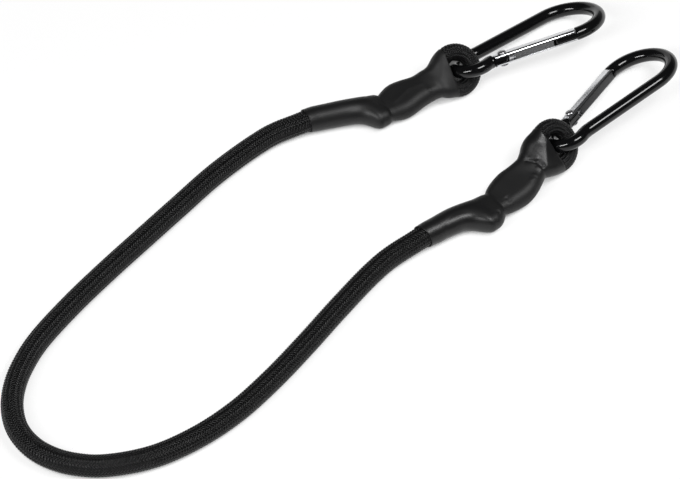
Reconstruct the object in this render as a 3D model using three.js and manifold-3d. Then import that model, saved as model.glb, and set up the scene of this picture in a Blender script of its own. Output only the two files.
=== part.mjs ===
// Elastic bungee cord, laid out in a loose U on the plane Z = 0, in millimetres with +Z up.
// Each end is folded back into an eye, held by two crimped bands under a shrunk sleeve,
// and carries a snap carabiner made of one bent rod with a sprung gate.
import * as THREE from 'three';
import { mergeVertices } from 'three/addons/utils/BufferGeometryUtils.js';
import Module from 'manifold-3d';

const wasm = await Module();
wasm.setup();

// Clearances
const FIT_GAP = 0.25;
const SKIN_GAP = 0.35;

// Cord
const CORD_DIAMETER = 10;
const SHEATH_WALL = 1.2;
const CORD_SIDES = 12;
const CORE_SIDES = 8;
const EYE_SIDES = 10;
const EYE_CORE_SIDES = 6;
const CORD_STEPS = 38;
const MOUTH_INSERT = 5;
const LEADING_SHARES = [-1, 0, 0.5, 1, 2];

// Middle line of the free stretch between the sleeves, far end first, as it lies on the floor
const CORD_ROUTE = [
  [-96, -7], [-105.3, -14.3], [-122.5, -31.2], [-138.2, -49.9], [-153.7, -68.6], [-168.9, -87.1],
  [-183.5, -106], [-196.9, -125.9], [-202.2, -137], [-205.9, -149.1], [-206.8, -162.1], [-203.7, -174.7],
  [-196.5, -184.4], [-187.1, -190.3], [-177.1, -193.1], [-166.8, -193.6], [-146.9, -189.1], [-128.3, -178.9],
  [-111.3, -164.7], [-96.1, -147.2], [-81.8, -128], [-67.8, -108], [-53.2, -88.3], [-45, -79.3],
];

// Folded end, measured along its own axis from the band that holds the tail
const MOUTH_TO_BAND = 34.8;
const APPROACH_OFFSET = 10.7;
const NEAR_APPROACH_ANGLE = 12;
const FAR_APPROACH_ANGLE = 7;
const NEAR_TAIL_LENGTH = 9.5;
const FAR_TAIL_LENGTH = 6.5;
const TAIL_SPLAY = 1;
const BAND_SPACING = 24.5;
const NEAR_EYE_REACH = 16.4;
const FAR_EYE_REACH = 12;
const EYE_RADIUS = 8.3;
const EYE_TILT = 45;
const EYE_SLACK = 1.4;
const FOLDED_RADIUS = 3.8;
const SLEEVED_RADIUS = 4.7;
const TAIL_SQUEEZE = 1.8;
const EYE_SQUEEZE = 1.7;
const SQUEEZE_REACH = 9;
const BULGE_SWELL = 0.4;
const SETTLE_LENGTH = 20;
const CLIMB_START = 4;
const FLOOR_EASE = 0.35;
const CREST_STEPS = 9;
const ARRIVAL_STEPS = 3;
const TAIL_STEPS = 2;
const BAND_STEPS = 2;
const BULGE_STEPS = 6;
const FAN_STEPS = 4;
const TANGENT_STEP = 0.1;

// Crimped bands
const BAND_WIDTH = 4;
const BAND_THICKNESS = 0.6;
const BAND_GAP = 0.35;

// Shrunk sleeve
const SLEEVE_WALL = 0.5;
const SLEEVE_SIDES = 16;
const WEB_SETBACK = 3.4;
const TAIL_RAMP = 7;
const RAMP_STEPS = 4;
const WEB_STEPS = 5;
const MOUTH_EASE = 0.15;

// Carabiner rod
const CARABINER_LENGTH = 80;
const ROD_DIAMETER = 6;
const ROD_SIDES = 12;
const ROD_STEPS = 54;
const SMALL_BOW_RADIUS = 8.6;
const BIG_BOW_RADIUS = 15.7;
const SPINE_NECK_DEPTH = 1.7;
const SPINE_NECK_RADIUS = 12;
const GATE_NECK_DEPTH = 3.2;
const GATE_NECK_RADIUS = 5;
const CARABINER_ROLL = 28;

// Flattened ends of the rod
const TANG_THICKNESS = 2.4;
const TANG_HEIGHT = 4.6;
const TANG_LENGTH = 7.6;
const TANG_HEEL = 2.2;
const TONGUE_LENGTH = 10.5;
const TONGUE_HEIGHT = 3.9;
const END_OVERLAP = 1;
const PLATE_ARC_STEPS = 6;

// Gate
const GATE_WIDTH = 5.4;
const GATE_HEIGHT = 4.8;
const GATE_CORNER = 1.3;
const PIVOT_DISTANCE = 4.6;
const NOSE_GAP = 0.5;
const HINGE_SLOT_DEPTH = 10;
const NOSE_SLOT_MARGIN = 0.8;
const NOSE_FLOOR = 1.2;
const RIVET_RADIUS = 1.1;
const RIVET_HEAD_RADIUS = 2;
const RIVET_HEAD_HEIGHT = 0.9;
const DOME_STEPS = 4;
const GATE_ARC_STEPS = 4;
const GATE_END_SIDES = 32;
const ROUND_SIDES = 16;
const CUT_MARGIN = 1;

// Gate spring and plunger
const BORE_RADIUS = 1.3;
const BORE_OFFSET = -0.5;
const PLUNGER_LENGTH = 4.5;
const SPRING_LENGTH = 8;
const SPRING_TURNS = 6;
const SPRING_WIRE_RADIUS = 0.2;
const SPRING_SIDES = 5;
const SPRING_TURN_STEPS = 8;
const PLUNGER_NOSE = 0.3;
const PLUNGER_SIDES = 12;

// Where each folded end lies: the tail band's place and the heading of the end's axis
const NEAR_END = {
  place: [0.69, -49.73],
  heading: 47.8,
  approachAngle: NEAR_APPROACH_ANGLE,
  tailLength: NEAR_TAIL_LENGTH,
  eyeReach: NEAR_EYE_REACH,
  gateUp: false,
};
const FAR_END = {
  place: [-46.61, 7.57],
  heading: 30,
  approachAngle: FAR_APPROACH_ANGLE,
  tailLength: FAR_TAIL_LENGTH,
  eyeReach: FAR_EYE_REACH,
  gateUp: true,
};

const UP = new THREE.Vector3(0, 0, 1);
const MERGE_DISTANCE = 1e-4;
const { degToRad: radians, lerp, smoothstep, clamp } = THREE.MathUtils;

const FINISH = {
  sheath: { color: 0x17171a, roughness: 0.8, metalness: 0 },
  rubber: { color: 0xc9b48c, roughness: 0.7, metalness: 0 },
  sleeve: { color: 0x1d1d1f, roughness: 0.5, metalness: 0 },
  anodised: { color: 0x0c0c0d, roughness: 0.2, metalness: 0.6 },
  polished: { color: 0xc8c9cc, roughness: 0.2, metalness: 1 },
  steel: { color: 0x9a9ca0, roughness: 0.35, metalness: 1 },
};

function piece(name, geometry, finish) {
  const mesh = new THREE.Mesh(geometry, new THREE.MeshStandardMaterial(FINISH[finish]));
  mesh.name = name;
  return mesh;
}

// Joins and cuts
function solidOf(geometry) {
  const bare = geometry.clone();
  bare.deleteAttribute('normal');
  bare.deleteAttribute('uv');
  const merged = mergeVertices(bare, MERGE_DISTANCE);
  return new wasm.Manifold(new wasm.Mesh({
    numProp: 3,
    vertProperties: new Float32Array(merged.attributes.position.array),
    triVerts: new Uint32Array(merged.index.array),
  }));
}

function geometryOf(solid) {
  const mesh = solid.getMesh();
  const geometry = new THREE.BufferGeometry();
  geometry.setAttribute('position', new THREE.BufferAttribute(mesh.vertProperties, 3));
  geometry.setIndex(new THREE.BufferAttribute(mesh.triVerts, 1));
  geometry.computeVertexNormals();
  return geometry;
}

function boxSolid(low, high) {
  const size = new THREE.Vector3().subVectors(high, low);
  const middle = new THREE.Vector3().addVectors(low, high).multiplyScalar(0.5);
  return solidOf(new THREE.BoxGeometry(size.x, size.y, size.z).translate(middle.x, middle.y, middle.z));
}

// Skins through rings of points
function ringStrip(faces, first, second, sides, outward) {
  for (let j = 0; j < sides; j += 1) {
    const k = (j + 1) % sides;
    const pair = [[first + j, first + k, second + j], [first + k, second + k, second + j]];
    pair.forEach(([a, b, c]) => faces.push(...(outward ? [a, b, c] : [a, c, b])));
  }
}

function skinGeometry(points, faces) {
  const geometry = new THREE.BufferGeometry().setFromPoints(points);
  geometry.setIndex(faces);
  geometry.computeVertexNormals();
  return geometry;
}

function solidSkin(rings) {
  const sides = rings[0].length;
  const faces = [];
  const points = rings.flat();
  for (let i = 0; i + 1 < rings.length; i += 1) {
    ringStrip(faces, i * sides, (i + 1) * sides, sides, true);
  }
  [rings[0], rings.at(-1)].forEach((ring, end) => {
    const centre = points.length;
    points.push(ring.reduce((sum, p) => sum.add(p), new THREE.Vector3()).divideScalar(sides));
    const first = end ? (rings.length - 1) * sides : 0;
    for (let j = 0; j < sides; j += 1) {
      const k = (j + 1) % sides;
      faces.push(centre, ...(end ? [first + j, first + k] : [first + k, first + j]));
    }
  });
  return skinGeometry(points, faces);
}

function hollowSkin(outer, inner) {
  const sides = outer[0].length;
  const faces = [];
  const points = [...outer.flat(), ...inner.flat()];
  const within = outer.length * sides;
  const last = (outer.length - 1) * sides;
  for (let i = 0; i + 1 < outer.length; i += 1) {
    ringStrip(faces, i * sides, (i + 1) * sides, sides, true);
    ringStrip(faces, within + i * sides, within + (i + 1) * sides, sides, false);
  }
  ringStrip(faces, 0, within, sides, false);
  ringStrip(faces, last, within + last, sides, true);
  return skinGeometry(points, faces);
}

// A ring of points round a place on a cord, square to its run, with one flat side underneath
function cordRing(place, along, over, radius, sides) {
  const top = over.clone().addScaledVector(along, -over.dot(along)).normalize();
  const side = new THREE.Vector3().crossVectors(top, along);
  const circumradius = radius / Math.cos(Math.PI / sides);
  return Array.from({ length: sides }, (_, j) => {
    const angle = (2 * Math.PI * (j + 0.5)) / sides;
    return place.clone()
      .addScaledVector(side, circumradius * Math.cos(angle))
      .addScaledVector(top, circumradius * Math.sin(angle));
  });
}

// Radius at the flats of a many-sided rod whose corners reach the given radius
function insideRadius(radius, sides) {
  return radius * Math.cos(Math.PI / sides);
}

function regularShape(radius, sides) {
  const circumradius = radius / Math.cos(Math.PI / sides);
  const corners = Array.from({ length: sides }, (_, j) => {
    const angle = (2 * Math.PI * (j + 0.5)) / sides;
    return new THREE.Vector2(circumradius * Math.cos(angle), circumradius * Math.sin(angle));
  });
  return new THREE.Shape(corners);
}

// Folded end. Stations are distances along the end's axis, with the tail band at zero.
const MOUTH = -MOUTH_TO_BAND;
const sleeveOuter = (radius) => radius + SKIN_GAP + SLEEVE_WALL;
const MOUTH_HEIGHT = sleeveOuter(CORD_DIAMETER / 2) + MOUTH_EASE;
const REST_HEIGHT = sleeveOuter(FOLDED_RADIUS) + FLOOR_EASE;
const EYE_LIFT = EYE_RADIUS * Math.sin(radians(EYE_TILT)) + sleeveOuter(FOLDED_RADIUS);

// A smooth hump: its height in the middle, and nothing further off than its reach
function humpAt(x, middle, height, reach) {
  const off = Math.min(1, Math.abs(x - middle) / reach);
  return height * Math.cos((Math.PI / 2) * off) ** 2;
}

function foldedRadius(x, isTail) {
  const thinning = smoothstep(x, MOUTH / 2, 0);
  const base = isTail ? FOLDED_RADIUS : lerp(SLEEVED_RADIUS, FOLDED_RADIUS, thinning);
  const swell = humpAt(x, BAND_SPACING / 2, BULGE_SWELL, BAND_SPACING / 2);
  const tailBand = humpAt(x, 0, TAIL_SQUEEZE, SQUEEZE_REACH);
  return base + swell - tailBand - humpAt(x, BAND_SPACING, EYE_SQUEEZE, SQUEEZE_REACH);
}

// Stations from one to another, leaving out the last
function stationsBetween(from, to, count) {
  return Array.from({ length: count }, (_, i) => from + ((to - from) * i) / count);
}

class Fold {
  constructor({ approachAngle, tailLength, eyeReach }) {
    this.approachSlope = Math.tan(radians(approachAngle));
    this.tailEnd = -tailLength;
    this.eyeCentre = BAND_SPACING + eyeReach;
    this.webEdge = this.eyeCentre - WEB_SETBACK;
  }

  climb(x) {
    return smoothstep(x, CLIMB_START, this.eyeCentre);
  }

  // The plane of the two runs turns about the axis towards the eye
  across(x) {
    const tilt = radians(EYE_TILT) * this.climb(x);
    return new THREE.Vector3(0, Math.cos(tilt), Math.sin(tilt));
  }

  over(x) {
    const tilt = radians(EYE_TILT) * this.climb(x);
    return new THREE.Vector3(0, -Math.sin(tilt), Math.cos(tilt));
  }

  // The end settles on to the floor behind the mouth and climbs again to the eye
  axisAt(x) {
    const settled = lerp(MOUTH_HEIGHT, REST_HEIGHT, smoothstep(x, -SETTLE_LENGTH, 0));
    return new THREE.Vector3(x, 0, lerp(settled, EYE_LIFT, this.climb(x)));
  }

  // Sideways distance of each run from the axis, fanning out after the eye band
  spread(x) {
    const pressed = foldedRadius(x, true) + FIT_GAP / 2;
    const fan = smoothstep(x, BAND_SPACING + BAND_WIDTH / 2, this.eyeCentre);
    return lerp(pressed, EYE_RADIUS, fan);
  }

  // The standing run comes in from the sleeve's mouth and bends on to the axis
  standing(x) {
    if (x >= 0) return this.spread(x);
    const slope = -this.approachSlope * MOUTH_TO_BAND;
    const t = 1 + x / MOUTH_TO_BAND;
    const blend = 3 * t ** 2 - 2 * t ** 3;
    return lerp(APPROACH_OFFSET, this.spread(0), blend) + slope * (t ** 3 - 2 * t ** 2 + t);
  }

  // The tail splays away from the standing run towards its cut end
  returning(x) {
    const splay = TAIL_SPLAY * smoothstep(-x, BAND_WIDTH / 2, -this.tailEnd);
    return -this.spread(Math.max(x, this.tailEnd)) - splay;
  }

  runPlace(x, offset) {
    return this.axisAt(x).addScaledVector(this.across(x), offset);
  }

  // Rings of one run at the given stations, heading towards the eye or away from it
  runRings(stations, offset, away, section, sides) {
    const placeAt = (x) => this.runPlace(x, offset(x));
    return stations.map((x) => {
      const along = placeAt(x + TANGENT_STEP).sub(placeAt(x - TANGENT_STEP));
      along.normalize().multiplyScalar(away ? -1 : 1);
      const radius = insideRadius(section(foldedRadius(x, away)), sides);
      return cordRing(placeAt(x), along, this.over(x), radius, sides);
    });
  }

  crestRings(section, sides) {
    const centre = this.axisAt(this.eyeCentre);
    const across = this.across(this.eyeCentre);
    const over = this.over(this.eyeCentre);
    const radius = insideRadius(section(FOLDED_RADIUS), sides);
    return Array.from({ length: CREST_STEPS + 1 }, (_, i) => {
      const angle = Math.PI * (0.5 - i / CREST_STEPS);
      const ahead = new THREE.Vector3(Math.sin(angle), 0, 0).addScaledVector(across, -Math.cos(angle));
      const place = centre.clone().addScaledVector(across, EYE_RADIUS * Math.sin(angle));
      place.x += EYE_RADIUS * Math.cos(angle);
      return cordRing(place, ahead, over, radius, sides);
    });
  }

  rings(section, sides) {
    const half = BAND_WIDTH / 2;
    const inserted = MOUTH + MOUTH_INSERT + 2 * FIT_GAP;
    const shared = [
      ...stationsBetween(-half, half, BAND_STEPS), ...stationsBetween(half, BAND_SPACING - half, BULGE_STEPS),
      ...stationsBetween(BAND_SPACING - half, BAND_SPACING + half, BAND_STEPS),
      ...stationsBetween(BAND_SPACING + half, this.eyeCentre, FAN_STEPS),
    ];
    const into = [
      ...stationsBetween(inserted, this.tailEnd, ARRIVAL_STEPS),
      ...stationsBetween(this.tailEnd, -half, TAIL_STEPS),
      ...shared,
    ];
    const out = [...shared.toReversed(), (this.tailEnd - half) / 2, this.tailEnd];
    return [
      ...this.runRings(into, (x) => this.standing(x), false, section, sides),
      ...this.crestRings(section, sides),
      ...this.runRings(out, (x) => this.returning(x), true, section, sides),
    ];
  }

  // Points where the cord's skin crosses the plane at one station
  crossings(x) {
    const leading = LEADING_SHARES.map((share) => MOUTH + share * MOUTH_INSERT);
    const corner = CORD_DIAMETER / 2 / Math.cos(Math.PI / CORD_SIDES);
    const cord = this.runRings(leading, (s) => this.standing(s), false, () => corner, CORD_SIDES);
    const rings = x <= MOUTH + MOUTH_INSERT ? cord : this.rings((radius) => radius, EYE_SIDES);
    const points = [];
    const cross = (from, to) => {
      if ((from.x - x) * (to.x - x) > 0 || from.x === to.x) return;
      points.push(from.clone().lerp(to, (x - from.x) / (to.x - from.x)));
    };
    rings.forEach((ring, i) => ring.forEach((point, j) => {
      const next = (j + 1) % ring.length;
      cross(point, ring[next]);
      if (i + 1 === rings.length) return;
      cross(point, rings[i + 1][j]);
      cross(rings[i + 1][j], ring[next]);
    }));
    return points;
  }

  // The sleeve runs down from the tail's cut end to the standing run in a short ramp
  rampPoints(x) {
    const reach = clamp((x - this.tailEnd + FIT_GAP) / TAIL_RAMP + 1, 0, 1);
    if (reach === 0 || x > this.tailEnd) return [];
    const foot = this.runPlace(x, this.standing(x));
    const cutEnd = this.rings((radius) => radius, EYE_SIDES).at(-1);
    return cutEnd.map((point) => point.setX(x).lerp(foot, 1 - reach));
  }

  // Outline stretched round everything at one station, grown by a margin
  wrapRing(x, margin) {
    const points = [...this.crossings(x), ...this.rampPoints(x)];
    const pitch = (2 * Math.PI) / SLEEVE_SIDES;
    const reach = (angle) => {
      const distances = points.map((point) => point.y * Math.cos(angle) + point.z * Math.sin(angle));
      return Math.max(...distances) + margin;
    };
    return Array.from({ length: SLEEVE_SIDES }, (_, j) => {
      const angle = pitch * (j + 0.5);
      const [before, after] = [reach(angle - pitch / 2), reach(angle + pitch / 2)];
      const along = (before + after) / (2 * Math.cos(pitch / 2));
      const aside = (after - before) / (2 * Math.sin(pitch / 2));
      return new THREE.Vector3(
        x,
        along * Math.cos(angle) - aside * Math.sin(angle),
        along * Math.sin(angle) + aside * Math.cos(angle),
      );
    });
  }
}

function foldedCord(end, fold) {
  const bore = (radius) => radius * (1 - SHEATH_WALL / (CORD_DIAMETER / 2));
  const sheath = hollowSkin(fold.rings((radius) => radius, EYE_SIDES), fold.rings(bore, EYE_SIDES));
  const coreRadius = (radius) => insideRadius(bore(radius), EYE_SIDES) - SKIN_GAP;
  const core = solidSkin(fold.rings(coreRadius, EYE_CORE_SIDES));
  return [piece(`${end}_eye_sheath`, sheath, 'sheath'), piece(`${end}_eye_core`, core, 'rubber')];
}

function band(name, fold, x) {
  const edges = [x - BAND_WIDTH / 2, x, x + BAND_WIDTH / 2];
  const inner = edges.map((edge) => fold.wrapRing(edge, BAND_GAP));
  const outer = edges.map((edge) => fold.wrapRing(edge, BAND_GAP + BAND_THICKNESS));
  return piece(name, hollowSkin(outer, inner), 'steel');
}

// Extra room that the sleeve leaves for a band, and for the cord where it is pushed in
function sleeveRoom(x) {
  const overBand = [0, BAND_SPACING].some((at) => Math.abs(x - at) <= BAND_WIDTH / 2 + FIT_GAP);
  if (overBand) return BAND_GAP + BAND_THICKNESS;
  return x <= MOUTH + MOUTH_INSERT ? MOUTH_EASE : 0;
}

function sleeve(end, fold) {
  const bandEdge = BAND_WIDTH / 2 + FIT_GAP;
  const rampTop = fold.tailEnd - FIT_GAP;
  const stations = [
    MOUTH, MOUTH + MOUTH_INSERT, ...stationsBetween(MOUTH + 2 * MOUTH_INSERT, rampTop, RAMP_STEPS),
    rampTop, (fold.tailEnd - bandEdge) / 2, -bandEdge, 0,
    ...stationsBetween(bandEdge, BAND_SPACING - bandEdge, BULGE_STEPS), BAND_SPACING - bandEdge, BAND_SPACING,
    ...stationsBetween(BAND_SPACING + bandEdge, fold.webEdge, WEB_STEPS), fold.webEdge,
  ];
  const rings = (margin) => stations.map((x) => fold.wrapRing(x, margin + SKIN_GAP + sleeveRoom(x)));
  return piece(`${end}_shrink_sleeve`, hollowSkin(rings(SLEEVE_WALL), rings(0)), 'sleeve');
}

// Free stretch of the cord, lying on the floor and rising a little into the sleeves
function inWorld(point, { place, heading }) {
  return point.applyAxisAngle(UP, radians(heading)).add(new THREE.Vector3(place[0], place[1], 0));
}

function freeStretch(nearFold, farFold) {
  const radius = CORD_DIAMETER / 2;
  const inSleeve = (fold, end) => [MOUTH + MOUTH_INSERT, MOUTH, MOUTH - MOUTH_INSERT].map((x) => {
    return inWorld(fold.runPlace(x, fold.standing(x)), end);
  });
  const route = new THREE.CatmullRomCurve3([
    ...inSleeve(farFold, FAR_END),
    ...CORD_ROUTE.map(([x, y]) => new THREE.Vector3(x, y, radius)),
    ...inSleeve(nearFold, NEAR_END).reverse(),
  ]);
  const rings = (size, sides) => Array.from({ length: CORD_STEPS + 1 }, (_, i) => {
    const place = route.getPointAt(i / CORD_STEPS);
    place.z = Math.max(place.z, radius);
    return cordRing(place, route.getTangentAt(i / CORD_STEPS), UP, size, sides);
  });
  const bore = radius - SHEATH_WALL;
  return [
    piece('cord_sheath', hollowSkin(rings(radius, CORD_SIDES), rings(bore, CORD_SIDES)), 'sheath'),
    piece('rubber_core', solidSkin(rings(insideRadius(bore - SKIN_GAP, CORE_SIDES), CORE_SIDES)), 'rubber'),
  ];
}

// Carabiner. Its plane is XY with the small bow's centre at the origin and the gate on +Y.
const ROD_RADIUS = ROD_DIAMETER / 2;
const BOW_DISTANCE = CARABINER_LENGTH - ROD_DIAMETER - SMALL_BOW_RADIUS - BIG_BOW_RADIUS;

// Straight run between the bows on one side, with the reversed arc that leads from it to the small bow
function straightSide(side, neckDepth, neckRadius) {
  const near = SMALL_BOW_RADIUS - neckDepth;
  const sine = (BIG_BOW_RADIUS - near) / BOW_DISTANCE;
  const cosine = Math.sqrt(1 - sine ** 2);
  const normal = new THREE.Vector2(-sine, side * cosine);
  const along = new THREE.Vector2(cosine, side * sine);
  const reach = Math.sqrt((SMALL_BOW_RADIUS + neckRadius) ** 2 - (near + neckRadius) ** 2);
  const at = (distance, run) => normal.clone().multiplyScalar(distance).addScaledVector(along, run);
  const neckCentre = at(near + neckRadius, reach);
  return {
    along,
    neckCentre,
    neckRadius,
    start: at(near, reach),
    end: new THREE.Vector2(BOW_DISTANCE, 0).addScaledVector(normal, BIG_BOW_RADIUS),
    normalAngle: normal.angle(),
    bowAngle: neckCentre.angle(),
  };
}

const gateSide = straightSide(1, GATE_NECK_DEPTH, GATE_NECK_RADIUS);
const spineSide = straightSide(-1, SPINE_NECK_DEPTH, SPINE_NECK_RADIUS);
const GATE_SPACE = gateSide.start.distanceTo(gateSide.end);

class RodLine extends THREE.Curve {
  constructor() {
    super();
    const neck = ({ neckCentre, neckRadius }, from, to) => {
      return new THREE.ArcCurve(neckCentre.x, neckCentre.y, neckRadius, from, to, true);
    };
    this.path = new THREE.CurvePath();
    this.path.add(neck(gateSide, gateSide.normalAngle - Math.PI, gateSide.bowAngle - Math.PI));
    this.path.add(new THREE.ArcCurve(0, 0, SMALL_BOW_RADIUS, gateSide.bowAngle, spineSide.bowAngle, false));
    this.path.add(neck(spineSide, spineSide.bowAngle - Math.PI, spineSide.normalAngle - Math.PI));
    this.path.add(new THREE.LineCurve(spineSide.start, spineSide.end));
    this.path.add(new THREE.ArcCurve(
      BOW_DISTANCE, 0, BIG_BOW_RADIUS, spineSide.normalAngle, gateSide.normalAngle + 2 * Math.PI, false,
    ));
  }

  getPoint(t, target = new THREE.Vector3()) {
    const p = this.path.getPoint(t);
    return target.set(p.x, p.y, 0);
  }
}

// Turns a shape drawn along the gate's line into the carabiner's plane
function alongGate(geometry) {
  return geometry.rotateZ(gateSide.along.angle()).translate(gateSide.start.x, gateSide.start.y, 0);
}

function plate(outline, thickness) {
  const settings = { depth: thickness, bevelEnabled: false, curveSegments: PLATE_ARC_STEPS };
  return new THREE.ExtrudeGeometry(outline, settings).translate(0, 0, -thickness / 2);
}

// Hinge tang with a square heel for the plunger
function tangOutline() {
  const half = TANG_HEIGHT / 2;
  const outline = new THREE.Shape();
  outline.moveTo(-END_OVERLAP, -half);
  outline.lineTo(TANG_LENGTH - (half - TANG_HEEL), -half);
  outline.lineTo(TANG_LENGTH, -TANG_HEEL);
  outline.lineTo(TANG_LENGTH, 0);
  outline.absarc(TANG_LENGTH - half, 0, half, 0, Math.PI / 2, false);
  outline.lineTo(-END_OVERLAP, half);
  return outline;
}

// Nose tongue, round ended, lying against the gate's outer side
function tongueOutline() {
  const low = -GATE_HEIGHT / 2 + NOSE_FLOOR + FIT_GAP;
  const half = TONGUE_HEIGHT / 2;
  const tip = GATE_SPACE - TONGUE_LENGTH;
  const outline = new THREE.Shape();
  outline.moveTo(GATE_SPACE + END_OVERLAP, low);
  outline.lineTo(GATE_SPACE + END_OVERLAP, low + TONGUE_HEIGHT);
  outline.absarc(tip + half, low + half, half, Math.PI / 2, 1.5 * Math.PI, false);
  return outline;
}

function rivetHole() {
  const radius = RIVET_RADIUS + FIT_GAP;
  const hole = new THREE.CylinderGeometry(radius, radius, 2 * GATE_WIDTH, ROUND_SIDES);
  return hole.rotateX(Math.PI / 2).translate(PIVOT_DISTANCE, 0, 0);
}

function carabinerBody(end) {
  const rod = new THREE.ExtrudeGeometry(regularShape(ROD_RADIUS, ROD_SIDES), {
    steps: ROD_STEPS, extrudePath: new RodLine(),
  });
  const ends = [plate(tangOutline(), TANG_THICKNESS), plate(tongueOutline(), TANG_THICKNESS)];
  const whole = ends.reduce((sum, flat) => sum.add(solidOf(alongGate(flat))), solidOf(rod));
  const drilled = whole.subtract(solidOf(alongGate(rivetHole())));
  return piece(`${end}_carabiner_body`, geometryOf(drilled), 'anodised');
}

// Gate pieces are drawn along +X from the rod's shoulder, with the outside of the gate on +Y
function gateSection() {
  const [halfWidth, halfHeight] = [GATE_WIDTH / 2 - GATE_CORNER, GATE_HEIGHT / 2 - GATE_CORNER];
  const outline = new THREE.Shape();
  outline.absarc(halfWidth, halfHeight, GATE_CORNER, 0, Math.PI / 2, false);
  outline.absarc(-halfWidth, halfHeight, GATE_CORNER, Math.PI / 2, Math.PI, false);
  outline.absarc(-halfWidth, -halfHeight, GATE_CORNER, Math.PI, 1.5 * Math.PI, false);
  outline.absarc(halfWidth, -halfHeight, GATE_CORNER, 1.5 * Math.PI, 2 * Math.PI, false);
  return outline;
}

function gate(end) {
  const length = GATE_SPACE - NOSE_GAP;
  const section = { depth: length, bevelEnabled: false, curveSegments: GATE_ARC_STEPS };
  const bar = solidOf(new THREE.ExtrudeGeometry(gateSection(), section).rotateY(Math.PI / 2));
  const endRadius = PIVOT_DISTANCE - FIT_GAP;
  const roundEnd = new THREE.CylinderGeometry(endRadius, endRadius, 2 * GATE_WIDTH, GATE_END_SIDES)
    .rotateX(Math.PI / 2);
  const beyond = new THREE.Vector3(length + CUT_MARGIN, GATE_HEIGHT, GATE_WIDTH);
  const keep = solidOf(roundEnd.translate(PIVOT_DISTANCE, 0, 0))
    .add(boxSolid(new THREE.Vector3(PIVOT_DISTANCE, -GATE_HEIGHT, -GATE_WIDTH), beyond));
  const slot = TANG_THICKNESS / 2 + FIT_GAP;
  const hingeSlot = boxSolid(
    new THREE.Vector3(-CUT_MARGIN, -GATE_HEIGHT, -slot),
    new THREE.Vector3(HINGE_SLOT_DEPTH, GATE_HEIGHT, slot),
  );
  const noseSlot = boxSolid(
    new THREE.Vector3(GATE_SPACE - TONGUE_LENGTH - NOSE_SLOT_MARGIN, NOSE_FLOOR - GATE_HEIGHT / 2, -slot),
    new THREE.Vector3(length + CUT_MARGIN, GATE_HEIGHT, slot),
  );
  const boreEnd = springStart() + SPRING_LENGTH + FIT_GAP;
  const boreStart = HINGE_SLOT_DEPTH - CUT_MARGIN;
  const bore = new THREE.CylinderGeometry(BORE_RADIUS, BORE_RADIUS, boreEnd - boreStart, ROUND_SIDES)
    .rotateZ(Math.PI / 2).translate((boreEnd + boreStart) / 2, BORE_OFFSET, 0);
  const cuts = [hingeSlot, noseSlot, solidOf(bore), solidOf(rivetHole())];
  const whole = cuts.reduce((solid, cut) => solid.subtract(cut), bar.intersect(keep));
  return piece(`${end}_gate`, alongGate(geometryOf(whole)), 'polished');
}

function hingeRivet(end) {
  const inside = GATE_WIDTH / 2 + FIT_GAP;
  const head = (sign) => Array.from({ length: DOME_STEPS + 1 }, (_, i) => {
    const angle = (Math.PI / 2) * (i / DOME_STEPS);
    const height = inside + RIVET_HEAD_HEIGHT * Math.sin(angle);
    return new THREE.Vector2(i === DOME_STEPS ? 0 : RIVET_HEAD_RADIUS * Math.cos(angle), sign * height);
  });
  const profile = [
    ...head(-1).reverse(),
    new THREE.Vector2(RIVET_RADIUS, -inside),
    new THREE.Vector2(RIVET_RADIUS, inside),
    ...head(1),
  ];
  const turned = new THREE.LatheGeometry(profile, ROUND_SIDES).rotateX(Math.PI / 2)
    .translate(PIVOT_DISTANCE, 0, 0);
  return piece(`${end}_hinge_rivet`, alongGate(mergedLathe(turned)), 'steel');
}

function mergedLathe(geometry) {
  return geometryOf(solidOf(geometry));
}

function plungerStart() {
  return TANG_LENGTH + FIT_GAP;
}

function springStart() {
  return plungerStart() + PLUNGER_LENGTH + FIT_GAP;
}

function plunger(end) {
  const radius = BORE_RADIUS - FIT_GAP;
  const start = plungerStart();
  const profile = [
    new THREE.Vector2(0, start),
    new THREE.Vector2(radius * (1 - PLUNGER_NOSE), start),
    new THREE.Vector2(radius, start + radius * PLUNGER_NOSE),
    new THREE.Vector2(radius, start + PLUNGER_LENGTH),
    new THREE.Vector2(0, start + PLUNGER_LENGTH),
  ];
  const turned = new THREE.LatheGeometry(profile, PLUNGER_SIDES).rotateZ(-Math.PI / 2)
    .translate(0, BORE_OFFSET, 0);
  return piece(`${end}_gate_plunger`, alongGate(mergedLathe(turned)), 'steel');
}

class SpringLine extends THREE.Curve {
  getPoint(t, target = new THREE.Vector3()) {
    const radius = BORE_RADIUS - FIT_GAP - SPRING_WIRE_RADIUS;
    const angle = 2 * Math.PI * SPRING_TURNS * t;
    const run = springStart() + SPRING_WIRE_RADIUS + (SPRING_LENGTH - 2 * SPRING_WIRE_RADIUS) * t;
    return target.set(run, BORE_OFFSET + radius * Math.cos(angle), radius * Math.sin(angle));
  }
}

function gateSpring(end) {
  const coil = new THREE.ExtrudeGeometry(regularShape(SPRING_WIRE_RADIUS, SPRING_SIDES), {
    steps: SPRING_TURN_STEPS * SPRING_TURNS, extrudePath: new SpringLine(),
  });
  return piece(`${end}_gate_spring`, alongGate(coil), 'steel');
}

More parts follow.
